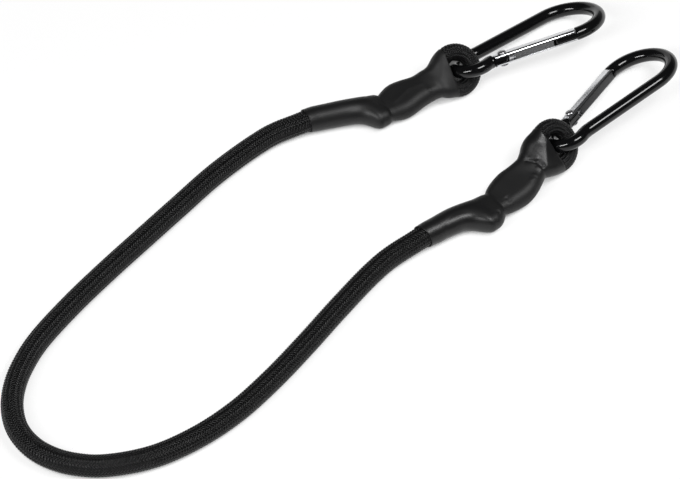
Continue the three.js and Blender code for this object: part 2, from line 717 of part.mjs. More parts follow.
// The small bow hangs on the eye's crest and the big bow's lower side rests on the floor
function carabiner(end, fold, gateUp) {
  const group = new THREE.Group();
  group.add(carabinerBody(end), gate(end), hingeRivet(end), gateSpring(end), plunger(end));
  const roll = radians(CARABINER_ROLL);
  const seat = SMALL_BOW_RADIUS - ROD_RADIUS - FOLDED_RADIUS - EYE_SLACK;
  const rodReach = ROD_RADIUS / Math.cos(Math.PI / ROD_SIDES);
  const gateReach = (GATE_HEIGHT / 2 - GATE_CORNER) * Math.sin(roll)
    + (GATE_WIDTH / 2 - GATE_CORNER) * Math.cos(roll) + GATE_CORNER;
  const lowest = gateUp ? rodReach : Math.max(rodReach, gateReach);
  const floorRise = lowest + BIG_BOW_RADIUS * Math.sin(roll) - EYE_LIFT;
  const pitch = Math.asin(floorRise / BOW_DISTANCE);
  group.setRotationFromEuler(new THREE.Euler(gateUp ? Math.PI - roll : -roll, -pitch, 0, 'ZYX'));
  group.position.set(fold.eyeCentre + EYE_RADIUS + seat, 0, EYE_LIFT);
  return group;
}

function foldedEnd(end, fold, { place, heading, gateUp }) {
  const group = new THREE.Group();
  group.add(
    ...foldedCord(end, fold),
    sleeve(end, fold),
    band(`${end}_tail_band`, fold, 0),
    band(`${end}_eye_band`, fold, BAND_SPACING),
    carabiner(end, fold, gateUp),
  );
  group.position.set(place[0], place[1], 0);
  group.rotation.z = radians(heading);
  return group;
}

const nearFold = new Fold(NEAR_END);
const farFold = new Fold(FAR_END);
const bungeeCord = new THREE.Group();
bungeeCord.add(
  ...freeStretch(nearFold, farFold),
  foldedEnd('near', nearFold, NEAR_END),
  foldedEnd('far', farFold, FAR_END),
);

export default bungeeCord;
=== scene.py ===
"""Looks of the elastic cord with two snap hooks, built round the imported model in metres."""

import math

import bmesh
import bpy
import numpy as np
from mathutils import Euler, Matrix, Vector


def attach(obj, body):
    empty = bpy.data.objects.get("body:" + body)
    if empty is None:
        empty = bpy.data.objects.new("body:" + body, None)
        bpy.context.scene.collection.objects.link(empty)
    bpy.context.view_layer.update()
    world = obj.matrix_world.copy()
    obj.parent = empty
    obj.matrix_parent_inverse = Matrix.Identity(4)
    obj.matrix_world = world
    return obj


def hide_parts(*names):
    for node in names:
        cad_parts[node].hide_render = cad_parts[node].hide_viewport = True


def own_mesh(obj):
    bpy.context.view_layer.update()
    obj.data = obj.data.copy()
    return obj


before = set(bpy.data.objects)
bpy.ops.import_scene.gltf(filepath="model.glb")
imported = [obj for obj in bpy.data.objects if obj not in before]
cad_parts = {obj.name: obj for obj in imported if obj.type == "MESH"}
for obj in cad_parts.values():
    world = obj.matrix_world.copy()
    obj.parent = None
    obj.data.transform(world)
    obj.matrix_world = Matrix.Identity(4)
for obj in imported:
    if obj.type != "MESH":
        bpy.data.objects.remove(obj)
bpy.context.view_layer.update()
scene = bpy.context.scene
scene.view_settings.view_transform = "Standard"

# Camera
VIEW_TARGET = Vector((-0.06711, -0.06913, 0.005))
VIEW_ELEVATION = math.radians(50)
VIEW_DISTANCE = 1.9909
VIEW_LENS = 240
VIEW_REACH = 20

# Clearances
FIT_GAP = 0.00025
SKIN_GAP = 0.00035

# Free stretch of the cord, far end first, as it lies on the floor
CORD_RADIUS = 0.005
MOUTH_INSERT = 0.005
CORD_POINTS = 500
CORD_PIECES = 3
CORD_LINING_SIDES = 32
CORD_ROUTE = [
    (-0.096, -0.007), (-0.1053, -0.0143), (-0.1225, -0.0312), (-0.1382, -0.0499),
    (-0.1537, -0.0686), (-0.1689, -0.0871), (-0.1835, -0.106), (-0.1969, -0.1259),
    (-0.2022, -0.137), (-0.2059, -0.1491), (-0.2068, -0.1621), (-0.2037, -0.1747),
    (-0.1965, -0.1844), (-0.1871, -0.1903), (-0.1771, -0.1931), (-0.1668, -0.1936),
    (-0.1469, -0.1891), (-0.1283, -0.1789), (-0.1113, -0.1647), (-0.0961, -0.1472),
    (-0.0818, -0.128), (-0.0678, -0.108), (-0.0532, -0.0883), (-0.045, -0.0793),
]

# Folded end, measured along its axis from the band that holds the tail
MOUTH_TO_BAND = 0.0348
APPROACH_OFFSET = 0.0107
TAIL_SPLAY = 0.001
BAND_SPACING = 0.0245
EYE_RADIUS = 0.0083
EYE_TILT = math.radians(45)
EYE_SLACK = 0.0014
FOLDED_RADIUS = 0.0038
SLEEVED_RADIUS = 0.0047
TAIL_SQUEEZE = 0.0018
EYE_SQUEEZE = 0.0017
SQUEEZE_REACH = 0.009
BULGE_SWELL = 0.0004
SETTLE_LENGTH = 0.020
CLIMB_START = 0.004
TWIST_START = 0.016
FLOOR_EASE = 0.00035
MOUTH_EASE = 0.00015
CREST_FULLNESS = 0.0001
CREST_SHIFT = 0.0002
CREST_BEFORE_EDGE = 0.004
CREST_PAST_EDGE = 0.001
STANDING_POINTS = 90
LOOP_POINTS = 48
TAIL_POINTS = 70
EYE_POINTS = 400
EYE_LINING_SIDES = 24

# Crimped bands
BAND_WIDTH = 0.004
BAND_THICKNESS = 0.0006
BAND_GAP = 0.00035
BAND_EDGE = 0.0002
BAND_EDGE_SHARE = 0.6
BAND_SIDES = 64

# Skin of the sleeve
SLEEVE_WALL = 0.0005
MOUTH_WALL = 0.00042
WEB_WALL = 0.00032
MOUTH_GAP = 0.00012
WEB_GAP = 0.00016
WEB_SETBACK = 0.0034
WEB_REACH = 0.005
LIP_ROLL = 0.0002
SLEEVE_SIDES = 96
SLEEVE_STEP = 0.00045
THINNING_START = -0.009
TAIL_WAIST = 0.0009
EYE_WAIST = 0.0006
WAIST_ROUNDING = 0.0006
TAIL_WAIST_REACH = (0.0013, 0.0028)
EYE_WAIST_REACH = (0.003, 0.002)
TAIL_START = 0.6
TAIL_BLEND = 0.0017
TAIL_BLEND_END = 0.004
TIP_PLACE = -0.0004
TIP_LENGTH = 0.0014
TIP_SIDES = 5.0
HIDDEN_SQUEEZE = 0.85
CORNER_PLACE = 0.75
CORNER_REACH = 0.0045
CORNER_PASSES = 30
CREASE_ROUNDING = 0.00025
CREASE_RISE = (-0.25, 0.15)
CREASE_FALL = (0.85, 1.25)
CREASE_FLANK = 1.4
FLOOR_SKIN = 0.00005
LEAST_LEAN = 0.05

MOUTH = -MOUTH_TO_BAND
MOUTH_HEIGHT = CORD_RADIUS + SKIN_GAP + SLEEVE_WALL + MOUTH_EASE
REST_HEIGHT = FOLDED_RADIUS + SKIN_GAP + SLEEVE_WALL + FLOOR_EASE
EYE_LIFT = EYE_RADIUS * math.sin(EYE_TILT) + FOLDED_RADIUS + SKIN_GAP + SLEEVE_WALL

# Braid of the sheath and strands of the core
STRANDS_EACH_WAY = 16
STRAND_LEAD = 0.0208
EYE_STRAND_LEAD = 0.0165
STRAND_WIDTH = 0.00104
STRAND_THICKNESS = 0.00045
STRAND_SIDES = 6
INTERLACE = 0.00022
STEPS_PER_WAVE = 6
LINING_DEPTH = 0.0007
RUBBER_STRANDS = 24
RUBBER_FILL = 0.78
RUBBER_DIAMETER = 0.00095
CORE_DEPTH = 0.0014
CORE_STEPS = 300
EYE_CORE_DEPTH = 0.0013
EYE_CORE_STEPS = 160

# Snap hook
HOOK_LENGTH = 0.080
ROD_RADIUS = 0.003
ROD_SIDES = 40
ROD_END_LENGTH = 0.0006
ROD_END_DROP = 0.00045
SMALL_BOW = 0.0086
BIG_BOW = 0.0157
SPINE_NECK = (0.0017, 0.012)
SPINE_POINTS = 80
GATE_NECK = (0.0032, 0.005)
HOOK_ROLL = math.radians(28)
BOW_DISTANCE = HOOK_LENGTH - 2 * ROD_RADIUS - SMALL_BOW - BIG_BOW
BOW_STEP = 0.0004
SOLID_ROD_SIDES = 12
TANG_THICKNESS = 0.0024
TANG_HEIGHT = 0.0046
TANG_LENGTH = 0.0076
TANG_HEEL = 0.0022
TONGUE_LENGTH = 0.0105
TONGUE_HEIGHT = 0.0039
PLATE_EDGE = 0.0003
PLATE_STEP = 0.00025
END_OVERLAP = 0.001
GATE_WIDTH = 0.0054
GATE_HEIGHT = 0.0048
GATE_CORNER = 0.0013
GATE_STEP = 0.0002
GATE_EDGE = 0.0003
GATE_END_SHARE = 0.94
CUT_OVERRUN = 0.001
PIVOT_DISTANCE = 0.0046
NOSE_GAP = 0.0005
HINGE_SLOT_DEPTH = 0.010
NOSE_SLOT_MARGIN = 0.0008
NOSE_FLOOR = 0.0012
RIVET_RADIUS = 0.0011
RIVET_HEAD_RADIUS = 0.002
RIVET_HEAD_HEIGHT = 0.0009
RIVET_HEAD_RINGS = 9
BORE_RADIUS = 0.0013
BORE_OFFSET = -0.0005
PLUNGER_LENGTH = 0.0045
PLUNGER_EDGE = 0.0002
PLUNGER_NOSE = [(0.6, 0.0), (0.9, 0.15), (1.0, 0.4)]
SPRING_LENGTH = 0.008
SPRING_TURNS = 6
SPRING_STEPS_PER_TURN = 24
SPRING_WIRE_RADIUS = 0.0002
SPRING_WIRE_SIDES = 10
PLUNGER_START = TANG_LENGTH + FIT_GAP
SPRING_START = PLUNGER_START + PLUNGER_LENGTH + FIT_GAP
ON_AXIS = 1e-6

# Finishes, and the gate's painted reflection
YARN_FIBRES = 150.0
SPECK_LEVELS = (0.68, 0.80)
GATE_INNER_FACE = (-0.0019, -0.0023)
GATE_INNER_PAINTED_REFLECTION = 0.07
GATE_INNER_DULLNESS = 0.2

# Studio
LIT_PLACE = (-0.03, -0.03, 0.01)
WORLD_LEVEL = 0.06
HORIZON_LEVEL = 0.18
HORIZON_BAND = (0.1, 0.35)
FLOOR_REACH = 3.0
FLOOR_SHADE = 0.3
FLOOR_GLOW = 0.75
# Painted shade on the floor, in closed-in places and in a patch under each small bow
TIGHT_PLACE = 0.025
OPEN_AIR = (0.1, 0.36)
BOW_SHADE = 0.25
BOW_SHADE_PLACE = (0.0055, 0.0067)
BOW_SHADE_REACH = (0.006, 0.011)

UP = np.array([0.0, 0.0, 1.0])


# Small helpers
def smoothstep(x, low, high):
    t = np.clip((np.asarray(x, float) - low) / (high - low), 0, 1)
    return t * t * (3 - 2 * t)


def mix(a, b, t):
    return a + (b - a) * t


def hump(x, middle, width):
    """1 at the middle, falling away as a bell of that width."""
    return np.exp(-(((x - middle) / width) ** 2))


def rounded_hump(x, middle, height, reach):
    return height * np.cos(np.pi / 2 * np.minimum(1, np.abs(x - middle) / reach)) ** 2


def round_angles(count):
    return 2 * np.pi * np.arange(count) / count


def lengths_along(line):
    return np.concatenate([[0], np.cumsum(np.linalg.norm(np.diff(line, axis=0), axis=1))])


def evenly(line, count):
    run = lengths_along(line)
    wanted = np.linspace(0, run[-1], count)
    return np.stack([np.interp(wanted, run, line[:, i]) for i in range(3)], axis=1)


def smooth_route(points, per_span=12):
    """A smooth line through all the points, without loops where they lie close together."""
    points = np.vstack([2 * points[0] - points[1], points, 2 * points[-1] - points[-2]])
    spans = []
    for a, b, c, d in zip(points, points[1:], points[2:], points[3:]):
        steps = [math.sqrt(np.linalg.norm(q - p)) for p, q in ((a, b), (b, c), (c, d))]
        k = np.cumsum([0] + steps)
        t = np.linspace(k[1], k[2], per_span, endpoint=False)[:, None]

        def between(p, q, i, j):
            return ((k[j] - t) * p + (t - k[i]) * q) / (k[j] - k[i])

        ab, bc, cd = between(a, b, 0, 1), between(b, c, 1, 2), between(c, d, 2, 3)
        spans.append(between(between(ab, bc, 0, 2), between(bc, cd, 1, 3), 1, 2))
    return np.vstack(spans + [points[-2:-1]])


def unit(vectors):
    return vectors / np.linalg.norm(vectors, axis=-1, keepdims=True)


def arc(centre, radius, start, stop, spacing):
    count = max(4, int(abs(stop - start) * radius / spacing))
    angles = np.linspace(start, stop, count)
    across, over = radius * np.cos(angles), radius * np.sin(angles)
    return np.stack([centre[0] + across, centre[1] + over], axis=1)


# Meshes
def new_piece(name, vertices, faces, material):
    mesh = bpy.data.meshes.new(name)
    mesh.from_pydata(np.asarray(vertices, float).tolist(), [], faces)
    mesh.update()
    piece = bpy.data.objects.new(name, mesh)
    scene.collection.objects.link(piece)
    mesh.materials.append(material)
    mesh.shade_smooth()
    return piece


def marked(piece, name, kind, key, values):
    """Gives each point of a piece a value that its material reads."""
    attribute = piece.data.attributes.new(name, kind, "POINT")
    attribute.data.foreach_set(key, np.asarray(values, np.float32).ravel())


def strip_faces(first, second, count):
    """Quads between two rings of points, given by the number of each ring's first point."""
    return [
        (first + j, first + (j + 1) % count, second + (j + 1) % count, second + j)
        for j in range(count)
    ]


def loft_faces(ring_count, sides, looped):
    faces = []
    for i in range(ring_count - 1):
        faces += strip_faces(i * sides, (i + 1) * sides, sides)
    last = (ring_count - 1) * sides
    if looped:
        return faces + strip_faces(last, 0, sides)
    return faces + [tuple(reversed(range(sides))), tuple(range(last, last + sides))]


def outward(piece):
    """Turns a closed mesh's faces outwards."""
    work = bmesh.new()
    work.from_mesh(piece.data)
    bmesh.ops.recalc_face_normals(work, faces=work.faces)
    work.to_mesh(piece.data)
    work.free()
    piece.data.update()
    return piece


def loft(name, rings, material, looped=False):
    """A skin through rings of points, closed by caps, or round on itself where it is looped."""
    rings = np.asarray(rings)
    count, sides, _ = rings.shape
    faces = loft_faces(count, sides, looped)
    return outward(new_piece(name, rings.reshape(-1, 3), faces, material))


def circle_rings(line, tops, radii, sides):
    """Round rings square to a line, with a given direction upwards."""
    along = unit(np.gradient(line, axis=0))
    top = unit(tops - along * np.sum(tops * along, axis=1, keepdims=True))
    side = np.cross(top, along)
    angles = round_angles(sides)[:, None]
    spokes = np.cos(angles) * side[:, None, :] + np.sin(angles) * top[:, None, :]
    return line[:, None, :] + np.broadcast_to(radii, len(line))[:, None, None] * spokes


def moved(piece, matrix):
    """Puts a piece's place into its mesh."""
    piece.data.transform(matrix)
    piece.data.update()
    return piece


def sharp_edges(piece, degrees):
    piece.data.shade_smooth()
    piece.data.set_sharp_from_angle(angle=math.radians(degrees))
    return piece


def with_modifiers_applied(piece):
    bpy.context.view_layer.update()
    graph = bpy.context.evaluated_depsgraph_get()
    mesh = bpy.data.meshes.new_from_object(piece.evaluated_get(graph))
    old = piece.data
    piece.modifiers.clear()
    piece.data = mesh
    mesh.name = piece.name
    bpy.data.meshes.remove(old)
    return piece


def carved(piece, operation, cutter):
    """Joins, cuts or trims a piece with another, which is used up."""
    cut = piece.modifiers.new("carve", "BOOLEAN")
    cut.operation = operation
    cut.solver = "EXACT"
    cut.object = cutter
    with_modifiers_applied(piece)
    used = cutter.data
    bpy.data.objects.remove(cutter)
    bpy.data.meshes.remove(used)
    return piece


def edges_broken(piece, width, degrees):
    bevel = piece.modifiers.new("bevel", "BEVEL")
    bevel.width = width
    bevel.segments = 2
    bevel.limit_method = "ANGLE"
    bevel.angle_limit = math.radians(degrees)
    bevel.harden_normals = False
    return with_modifiers_applied(piece)


def belongs(piece, body, slot, *nodes):
    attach(piece, body)
    if nodes:
        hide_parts(*nodes)
    return piece


# Node trees
class Nodes:
    """A node tree, with short ways to add nodes and to link them."""

    def __init__(self, tree):
        self.tree = tree

    def feed(self, socket, value):
        """Links a socket to another one, or sets it to a plain value."""
        if isinstance(value, bpy.types.NodeSocket):
            self.tree.links.new(value, socket)
        else:
            socket.default_value = value

    def add(self, kind, inputs=None, **settings):
        node = self.tree.nodes.new(kind)
        for key, value in settings.items():
            setattr(node, key, value)
        for key, value in (inputs or {}).items():
            self.feed(node.inputs[key], value)
        return node

    def calc(self, operation, *values):
        inputs = dict(enumerate(values))
        return self.add("ShaderNodeMath", inputs, operation=operation).outputs[0]

    def vector(self, operation, *values):
        inputs = dict(enumerate(values))
        return self.add("ShaderNodeVectorMath", inputs, operation=operation).outputs["Vector"]

    def scaled(self, vector, factor):
        inputs = {0: vector, "Scale": factor}
        return self.add("ShaderNodeVectorMath", inputs, operation="SCALE").outputs["Vector"]

    def ranged(self, value, low, high, between=(0.0, 1.0)):
        """Goes from low to high while a value goes between two others."""
        inputs = {"Value": value, "From Min": between[0], "From Max": between[1]}
        return self.add("ShaderNodeMapRange", {**inputs, "To Min": low, "To Max": high}).outputs[0]


class Growth(Nodes):
    """One Geometry Nodes tree, with named inputs for its sizes."""

    def __init__(self, name):
        super().__init__(bpy.data.node_groups.new(name, "GeometryNodeTree"))
        for way in ("INPUT", "OUTPUT"):
            self.tree.interface.new_socket(
                "Geometry", in_out=way, socket_type="NodeSocketGeometry"
            )
        self.source = self.tree.nodes.new("NodeGroupInput")
        self.result = self.tree.nodes.new("NodeGroupOutput")

    def size(self, name, kind="Float"):
        self.tree.interface.new_socket(name, in_out="INPUT", socket_type="NodeSocket" + kind)
        return self.source.outputs[name]

    def point(self, x, y, z):
        return self.add("ShaderNodeCombineXYZ", {0: x, 1: y, 2: z}).outputs[0]

    def strand_points(self, strands, steps):
        """Straight lines to be bent into strands, with each point's strand and share of the way."""
        line = self.add("GeometryNodeCurvePrimitiveLine", {"Start": (0, 0, 0), "End": (1, 0, 0)})
        fine = self.add(
            "GeometryNodeResampleCurve", {"Curve": line.outputs[0], "Count": steps}, mode="COUNT"
        )
        copies = self.add(
            "GeometryNodeDuplicateElements", {"Geometry": fine.outputs[0], "Amount": strands},
            domain="SPLINE",
        )
        index = self.add("GeometryNodeInputIndex").outputs[0]
        number = self.calc("FLOOR", self.calc("DIVIDE", self.calc("ADD", index, 0.5), steps))
        place = self.calc("SUBTRACT", index, self.calc("MULTIPLY", number, steps))
        share = self.calc("DIVIDE", place, self.calc("SUBTRACT", steps, 1))
        return copies.outputs[0], number, share

    def along_path(self, share):
        """Place, two directions across and girth of the path at a share of its length."""
        path = self.add("GeometryNodeMeshToCurve", {"Mesh": self.source.outputs["Geometry"]})
        girth = self.add("GeometryNodeInputNamedAttribute", {"Name": "girth"}, data_type="FLOAT")
        found = self.add(
            "GeometryNodeSampleCurve",
            {"Curves": path.outputs[0], "Value": girth.outputs[0], "Factor": share},
            mode="FACTOR", data_type="FLOAT",
        ).outputs
        aside = self.vector("CROSS_PRODUCT", found["Tangent"], found["Normal"])
        return found["Position"], found["Normal"], aside, found["Value"]

    def spoke(self, normal, aside, angle):
        """Direction away from the path at an angle round it."""
        across = self.scaled(normal, self.calc("COSINE", angle))
        return self.vector("ADD", across, self.scaled(aside, self.calc("SINE", angle)))

    def laid(self, lines, target):
        inputs = {"Geometry": lines, "Position": target}
        return self.add("GeometryNodeSetPosition", inputs).outputs[0]

    def oval(self, sides, width, thickness):
        """Section of a strand, with each point's share of the way round it."""
        ring = self.add(
            "GeometryNodeCurvePrimitiveCircle", {"Resolution": sides, "Radius": 0.5}, mode="RADIUS"
        )
        scale = self.point(width, thickness, 1.0)
        shaped = self.add("GeometryNodeTransform", {"Geometry": ring.outputs[0], "Scale": scale})
        turn = self.add("GeometryNodeSplineParameter").outputs["Factor"]
        return self.add(
            "GeometryNodeStoreNamedAttribute",
            {"Geometry": shaped.outputs[0], "Name": "side", "Value": turn},
            data_type="FLOAT", domain="POINT",
        ).outputs[0]

    def drawn_out(self, lines, profile, material):
        """Draws a profile along the lines and hands out the finished mesh."""
        mesh = self.add(
            "GeometryNodeCurveToMesh",
            {"Curve": lines, "Profile Curve": profile, "Fill Caps": True},
        ).outputs[0]
        mesh = self.add("GeometryNodeSetShadeSmooth", {"Geometry": mesh}).outputs[0]
        mesh = self.add("GeometryNodeRealizeInstances", {"Geometry": mesh}).outputs[0]
        inputs = {"Geometry": mesh, "Material": material}
        mesh = self.add("GeometryNodeSetMaterial", inputs).outputs[0]
        self.tree.links.new(mesh, self.result.inputs[0])
        return self.tree


def braid_tree():
    """Strands wound both ways round a path, over two and under two, in herringbone columns."""
    t = Growth("braided sheath")
    each_way = t.size("Strands Each Way", "Int")
    turns, steps = t.size("Turns"), t.size("Steps", "Int")
    start, stop = t.size("From"), t.size("To")
    width, thickness = t.size("Strand Width"), t.size("Strand Thickness")
    interlace = t.size("Interlace")
    material = t.size("Material", "Material")
    lines, number, share = t.strand_points(t.calc("MULTIPLY", each_way, 2), steps)
    way = t.calc("SUBTRACT", 1, t.calc("MULTIPLY", t.calc("MODULO", number, 2), 2))
    place = t.calc("FLOOR", t.calc("DIVIDE", t.calc("ADD", number, 0.5), 2))
    run = t.calc("ADD", start, t.calc("MULTIPLY", share, t.calc("SUBTRACT", stop, start)))
    full_turns = t.calc("MULTIPLY", run, turns)
    wound = t.calc("MULTIPLY", full_turns, t.calc("MULTIPLY", way, 2 * math.pi))
    set_off = t.calc("MULTIPLY", t.calc("DIVIDE", place, each_way), 2 * math.pi)
    angle = t.calc("ADD", wound, set_off)
    waves = t.calc("MULTIPLY", angle, t.calc("DIVIDE", each_way, 2))
    over = t.calc("MULTIPLY", t.calc("COSINE", t.calc("SUBTRACT", waves, math.pi / 4)), way)
    sunk = t.calc("MULTIPLY", interlace, t.calc("SUBTRACT", 1, over))
    at, normal, aside, girth = t.along_path(run)
    spoke = t.spoke(normal, aside, angle)
    outermost = t.calc("SUBTRACT", girth, t.calc("MULTIPLY", thickness, 0.5))
    distance = t.calc("SUBTRACT", outermost, sunk)
    laid = t.laid(lines, t.vector("ADD", at, t.scaled(spoke, distance)))
    inputs = {"Curve": laid, "Normal": spoke}
    laid = t.add("GeometryNodeSetCurveNormal", inputs, mode="FREE").outputs[0]
    return t.drawn_out(laid, t.oval(STRAND_SIDES, thickness, width), material)


def bundle_tree():
    """Rubber strands packed side by side inside the sheath."""
    t = Growth("rubber bundle")
    strands, steps = t.size("Strands", "Int"), t.size("Steps", "Int")
    fill, diameter = t.size("Fill"), t.size("Strand Diameter")
    material = t.size("Material", "Material")
    lines, number, share = t.strand_points(strands, steps)
    angle = t.calc("MULTIPLY", number, math.pi * (3 - math.sqrt(5)))
    ring = t.calc("SQRT", t.calc("DIVIDE", t.calc("ADD", number, 0.5), strands))
    at, normal, aside, girth = t.along_path(share)
    distance = t.calc("MULTIPLY", t.calc("MULTIPLY", girth, fill), ring)
    target = t.vector("ADD", at, t.scaled(t.spoke(normal, aside, angle), distance))
    profile = t.oval(STRAND_SIDES, diameter, diameter)
    return t.drawn_out(t.laid(lines, target), profile, material)


def coil_tree():
    """Wire wound into a spring along X."""
    t = Growth("wound spring")
    turns, steps = t.size("Turns"), t.size("Steps", "Int")
    length, radius, wire = t.size("Length"), t.size("Coil Radius"), t.size("Wire Diameter")
    material = t.size("Material", "Material")
    lines, _, share = t.strand_points(1, steps)
    angle = t.calc("MULTIPLY", t.calc("MULTIPLY", turns, share), 2 * math.pi)
    target = t.point(
        t.calc("MULTIPLY", length, share),
        t.calc("MULTIPLY", radius, t.calc("COSINE", angle)),
        t.calc("MULTIPLY", radius, t.calc("SINE", angle)),
    )
    return t.drawn_out(t.laid(lines, target), t.oval(SPRING_WIRE_SIDES, wire, wire), material)


def grown(name, tree, sizes, line=None, girths=None):
    """Runs a tree on a path and keeps the result as a plain mesh."""
    path = bpy.data.meshes.new(name + "_path")
    points = [] if line is None else line.tolist()
    path.from_pydata(points, [(i, i + 1) for i in range(len(points) - 1)], [])
    piece = bpy.data.objects.new(name, path)
    scene.collection.objects.link(piece)
    if line is not None:
        marked(piece, "girth", "FLOAT", "value", girths)
    modifier = piece.modifiers.new("nodes", "NODES")
    modifier.node_group = tree
    for socket in tree.interface.items_tree:
        if socket.in_out == "INPUT" and socket.name in sizes:
            modifier[socket.identifier] = sizes[socket.name]
    return with_modifiers_applied(piece)


# Materials
class Effect(Nodes):
    """A shader node group that takes a place and named values."""

    def __init__(self, name, outputs, **values):
        super().__init__(bpy.data.node_groups.new(name, "ShaderNodeTree"))
        sockets = self.tree.interface
        sockets.new_socket("Vector", in_out="INPUT", socket_type="NodeSocketVector")
        for label, value in values.items():
            socket = sockets.new_socket(
                label.replace("_", " "), in_out="INPUT", socket_type="NodeSocketFloat"
            )
            socket.default_value = value
        for label in outputs:
            sockets.new_socket(label, in_out="OUTPUT", socket_type="NodeSocketFloat")
        self.given = self.tree.nodes.new("NodeGroupInput").outputs
        self.result = self.tree.nodes.new("NodeGroupOutput").inputs

    def noise(self, scale, detail):
        inputs = {"Vector": self.given["Vector"], "Scale": self.given[scale], "Detail": detail}
        return self.add("ShaderNodeTexNoise", inputs).outputs[0]

    def handed_out(self, **results):
        for label, value in results.items():
            self.tree.links.new(value, self.result[label])
        return self.tree


def grain_group():
    """Fine unevenness of a moulded, painted or rolled surface."""
    g = Effect("surface grain", ["Fine", "Clouds", "Height"], Scale=900.0, Cloud_Scale=60.0)
    fine, clouds = g.noise("Scale", detail=3), g.noise("Cloud Scale", detail=4)
    return g.handed_out(Fine=fine, Clouds=clouds, Height=g.calc("ADD", fine, clouds))


def dust_group():
    """A sparse mask of pale specks."""
    g = Effect("fine dust", ["Mask"], Scale=1500.0, Cover=0.3)
    specks = g.ranged(g.noise("Scale", detail=1), 0.0, 1.0, between=SPECK_LEVELS)
    return g.handed_out(Mask=g.calc("MULTIPLY", specks, g.given["Cover"]))


GRAIN = grain_group()
DUST = dust_group()


class Surface(Nodes):
    """One material with a Principled BSDF."""

    def __init__(self, name, **plain):
        self.material = bpy.data.materials.new(name)
        self.material.use_nodes = True
        super().__init__(self.material.node_tree)
        self.shader = self.tree.nodes["Principled BSDF"]
        for key, value in plain.items():
            self.shader.inputs[key.replace("_", " ")].default_value = value

    def where(self):
        return self.add("ShaderNodeTexCoord").outputs["Object"]

    def attribute(self, name, output="Fac"):
        return self.add("ShaderNodeAttribute", attribute_name=name).outputs[output]

    def effect(self, tree, **inputs):
        node = self.add("ShaderNodeGroup", node_tree=tree)
        for key, value in inputs.items():
            self.feed(node.inputs[key.replace("_", " ")], value)
        return node.outputs

    def blend(self, factor, low, high):
        """Colour between two, by a factor that changes over the surface."""
        ramp = self.add("ShaderNodeMix", data_type="RGBA")
        self.tree.links.new(factor, ramp.inputs["Factor"])
        colours = [s for s in ramp.inputs if s.type == "RGBA"]
        colours[0].default_value = (*low, 1)
        colours[1].default_value = (*high, 1)
        return [s for s in ramp.outputs if s.type == "RGBA"][0]

    def give(self, socket, value):
        self.tree.links.new(value, self.shader.inputs[socket])

    def bump(self, height, depth):
        inputs = {"Height": height, "Distance": depth, "Strength": 1.0}
        self.give("Normal", self.add("ShaderNodeBump", inputs).outputs[0])


def yarn_material():
    s = Surface("black_yarn", Specular_IOR_Level=0.26)
    where = s.where()
    ridges = s.calc("SINE", s.calc("MULTIPLY", s.attribute("side"), YARN_FIBRES))
    grain = s.effect(GRAIN, Vector=where, Scale=2500.0, Cloud_Scale=90.0)
    lint = s.effect(DUST, Vector=where, Scale=900.0, Cover=0.3)
    shade = s.calc("ADD", grain["Clouds"], lint["Mask"])
    s.give("Base Color", s.blend(shade, (0.0018, 0.0018, 0.002), (0.0045, 0.0045, 0.0048)))
    s.give("Roughness", s.ranged(grain["Fine"], 0.34, 0.4))
    s.bump(ridges, depth=0.000006)
    return s.material


def lining_material():
    s = Surface("dark_lining", Roughness=0.9, Specular_IOR_Level=0.2)
    grain = s.effect(GRAIN, Vector=s.where(), Scale=2500.0, Cloud_Scale=120.0)
    s.give("Base Color", s.blend(grain["Clouds"], (0.003, 0.003, 0.003), (0.008, 0.008, 0.008)))
    s.bump(grain["Fine"], depth=0.00003)
    return s.material


def sleeve_material():
    s = Surface("shrunk_sleeve", Specular_IOR_Level=0.4)
    where = s.where()
    grain = s.effect(GRAIN, Vector=where, Scale=1600.0, Cloud_Scale=110.0)
    dust = s.effect(DUST, Vector=where, Scale=1700.0, Cover=0.25)
    shade = s.calc("ADD", grain["Clouds"], dust["Mask"])
    s.give("Base Color", s.blend(shade, (0.003, 0.003, 0.0032), (0.006, 0.006, 0.0063)))
    uneven = s.ranged(grain["Clouds"], 0.0, 0.06)
    s.give("Roughness", s.calc("ADD", s.attribute("dullness"), uneven))
    s.bump(grain["Height"], depth=0.000025)
    return s.material


def rod_material():
    s = Surface("black_gloss", Specular_IOR_Level=0.4)
    where = s.where()
    grain = s.effect(GRAIN, Vector=where, Scale=700.0, Cloud_Scale=45.0)
    dust = s.effect(DUST, Vector=where, Scale=1300.0, Cover=0.12)
    s.give("Base Color", s.blend(dust["Mask"], (0.0025, 0.0025, 0.0028), (0.012, 0.012, 0.012)))
    s.give("Roughness", s.ranged(grain["Clouds"], 0.08, 0.14))
    return s.material


def gate_material():
    """Polished along its length; duller on the inside face, which has a painted dark reflection."""
    s = Surface("polished_gate", Metallic=1.0)
    place = s.attribute("local", "Vector")
    drawn = s.add("ShaderNodeMapping", {"Vector": place, "Scale": (0.02, 1, 1)}).outputs[0]
    brush = s.effect(GRAIN, Vector=drawn, Scale=9000.0, Cloud_Scale=1800.0)
    grain = s.effect(GRAIN, Vector=s.where(), Scale=900.0, Cloud_Scale=140.0)
    height = s.add("ShaderNodeSeparateXYZ", {0: place}).outputs["Y"]
    inner = s.ranged(height, 0.0, 1.0, between=GATE_INNER_FACE)
    bright = s.blend(grain["Clouds"], (0.62, 0.63, 0.65), (0.8, 0.805, 0.82))
    # Painted reflection: the inner face is darkened in colour for the black spine mirrored in it.
    s.give("Base Color", s.scaled(bright, s.ranged(inner, 1.0, GATE_INNER_PAINTED_REFLECTION)))
    dullness = s.calc("MULTIPLY", inner, GATE_INNER_DULLNESS)
    s.give("Roughness", s.calc("ADD", s.ranged(brush["Fine"], 0.16, 0.26), dullness))
    s.bump(brush["Fine"], depth=0.000004)
    return s.material


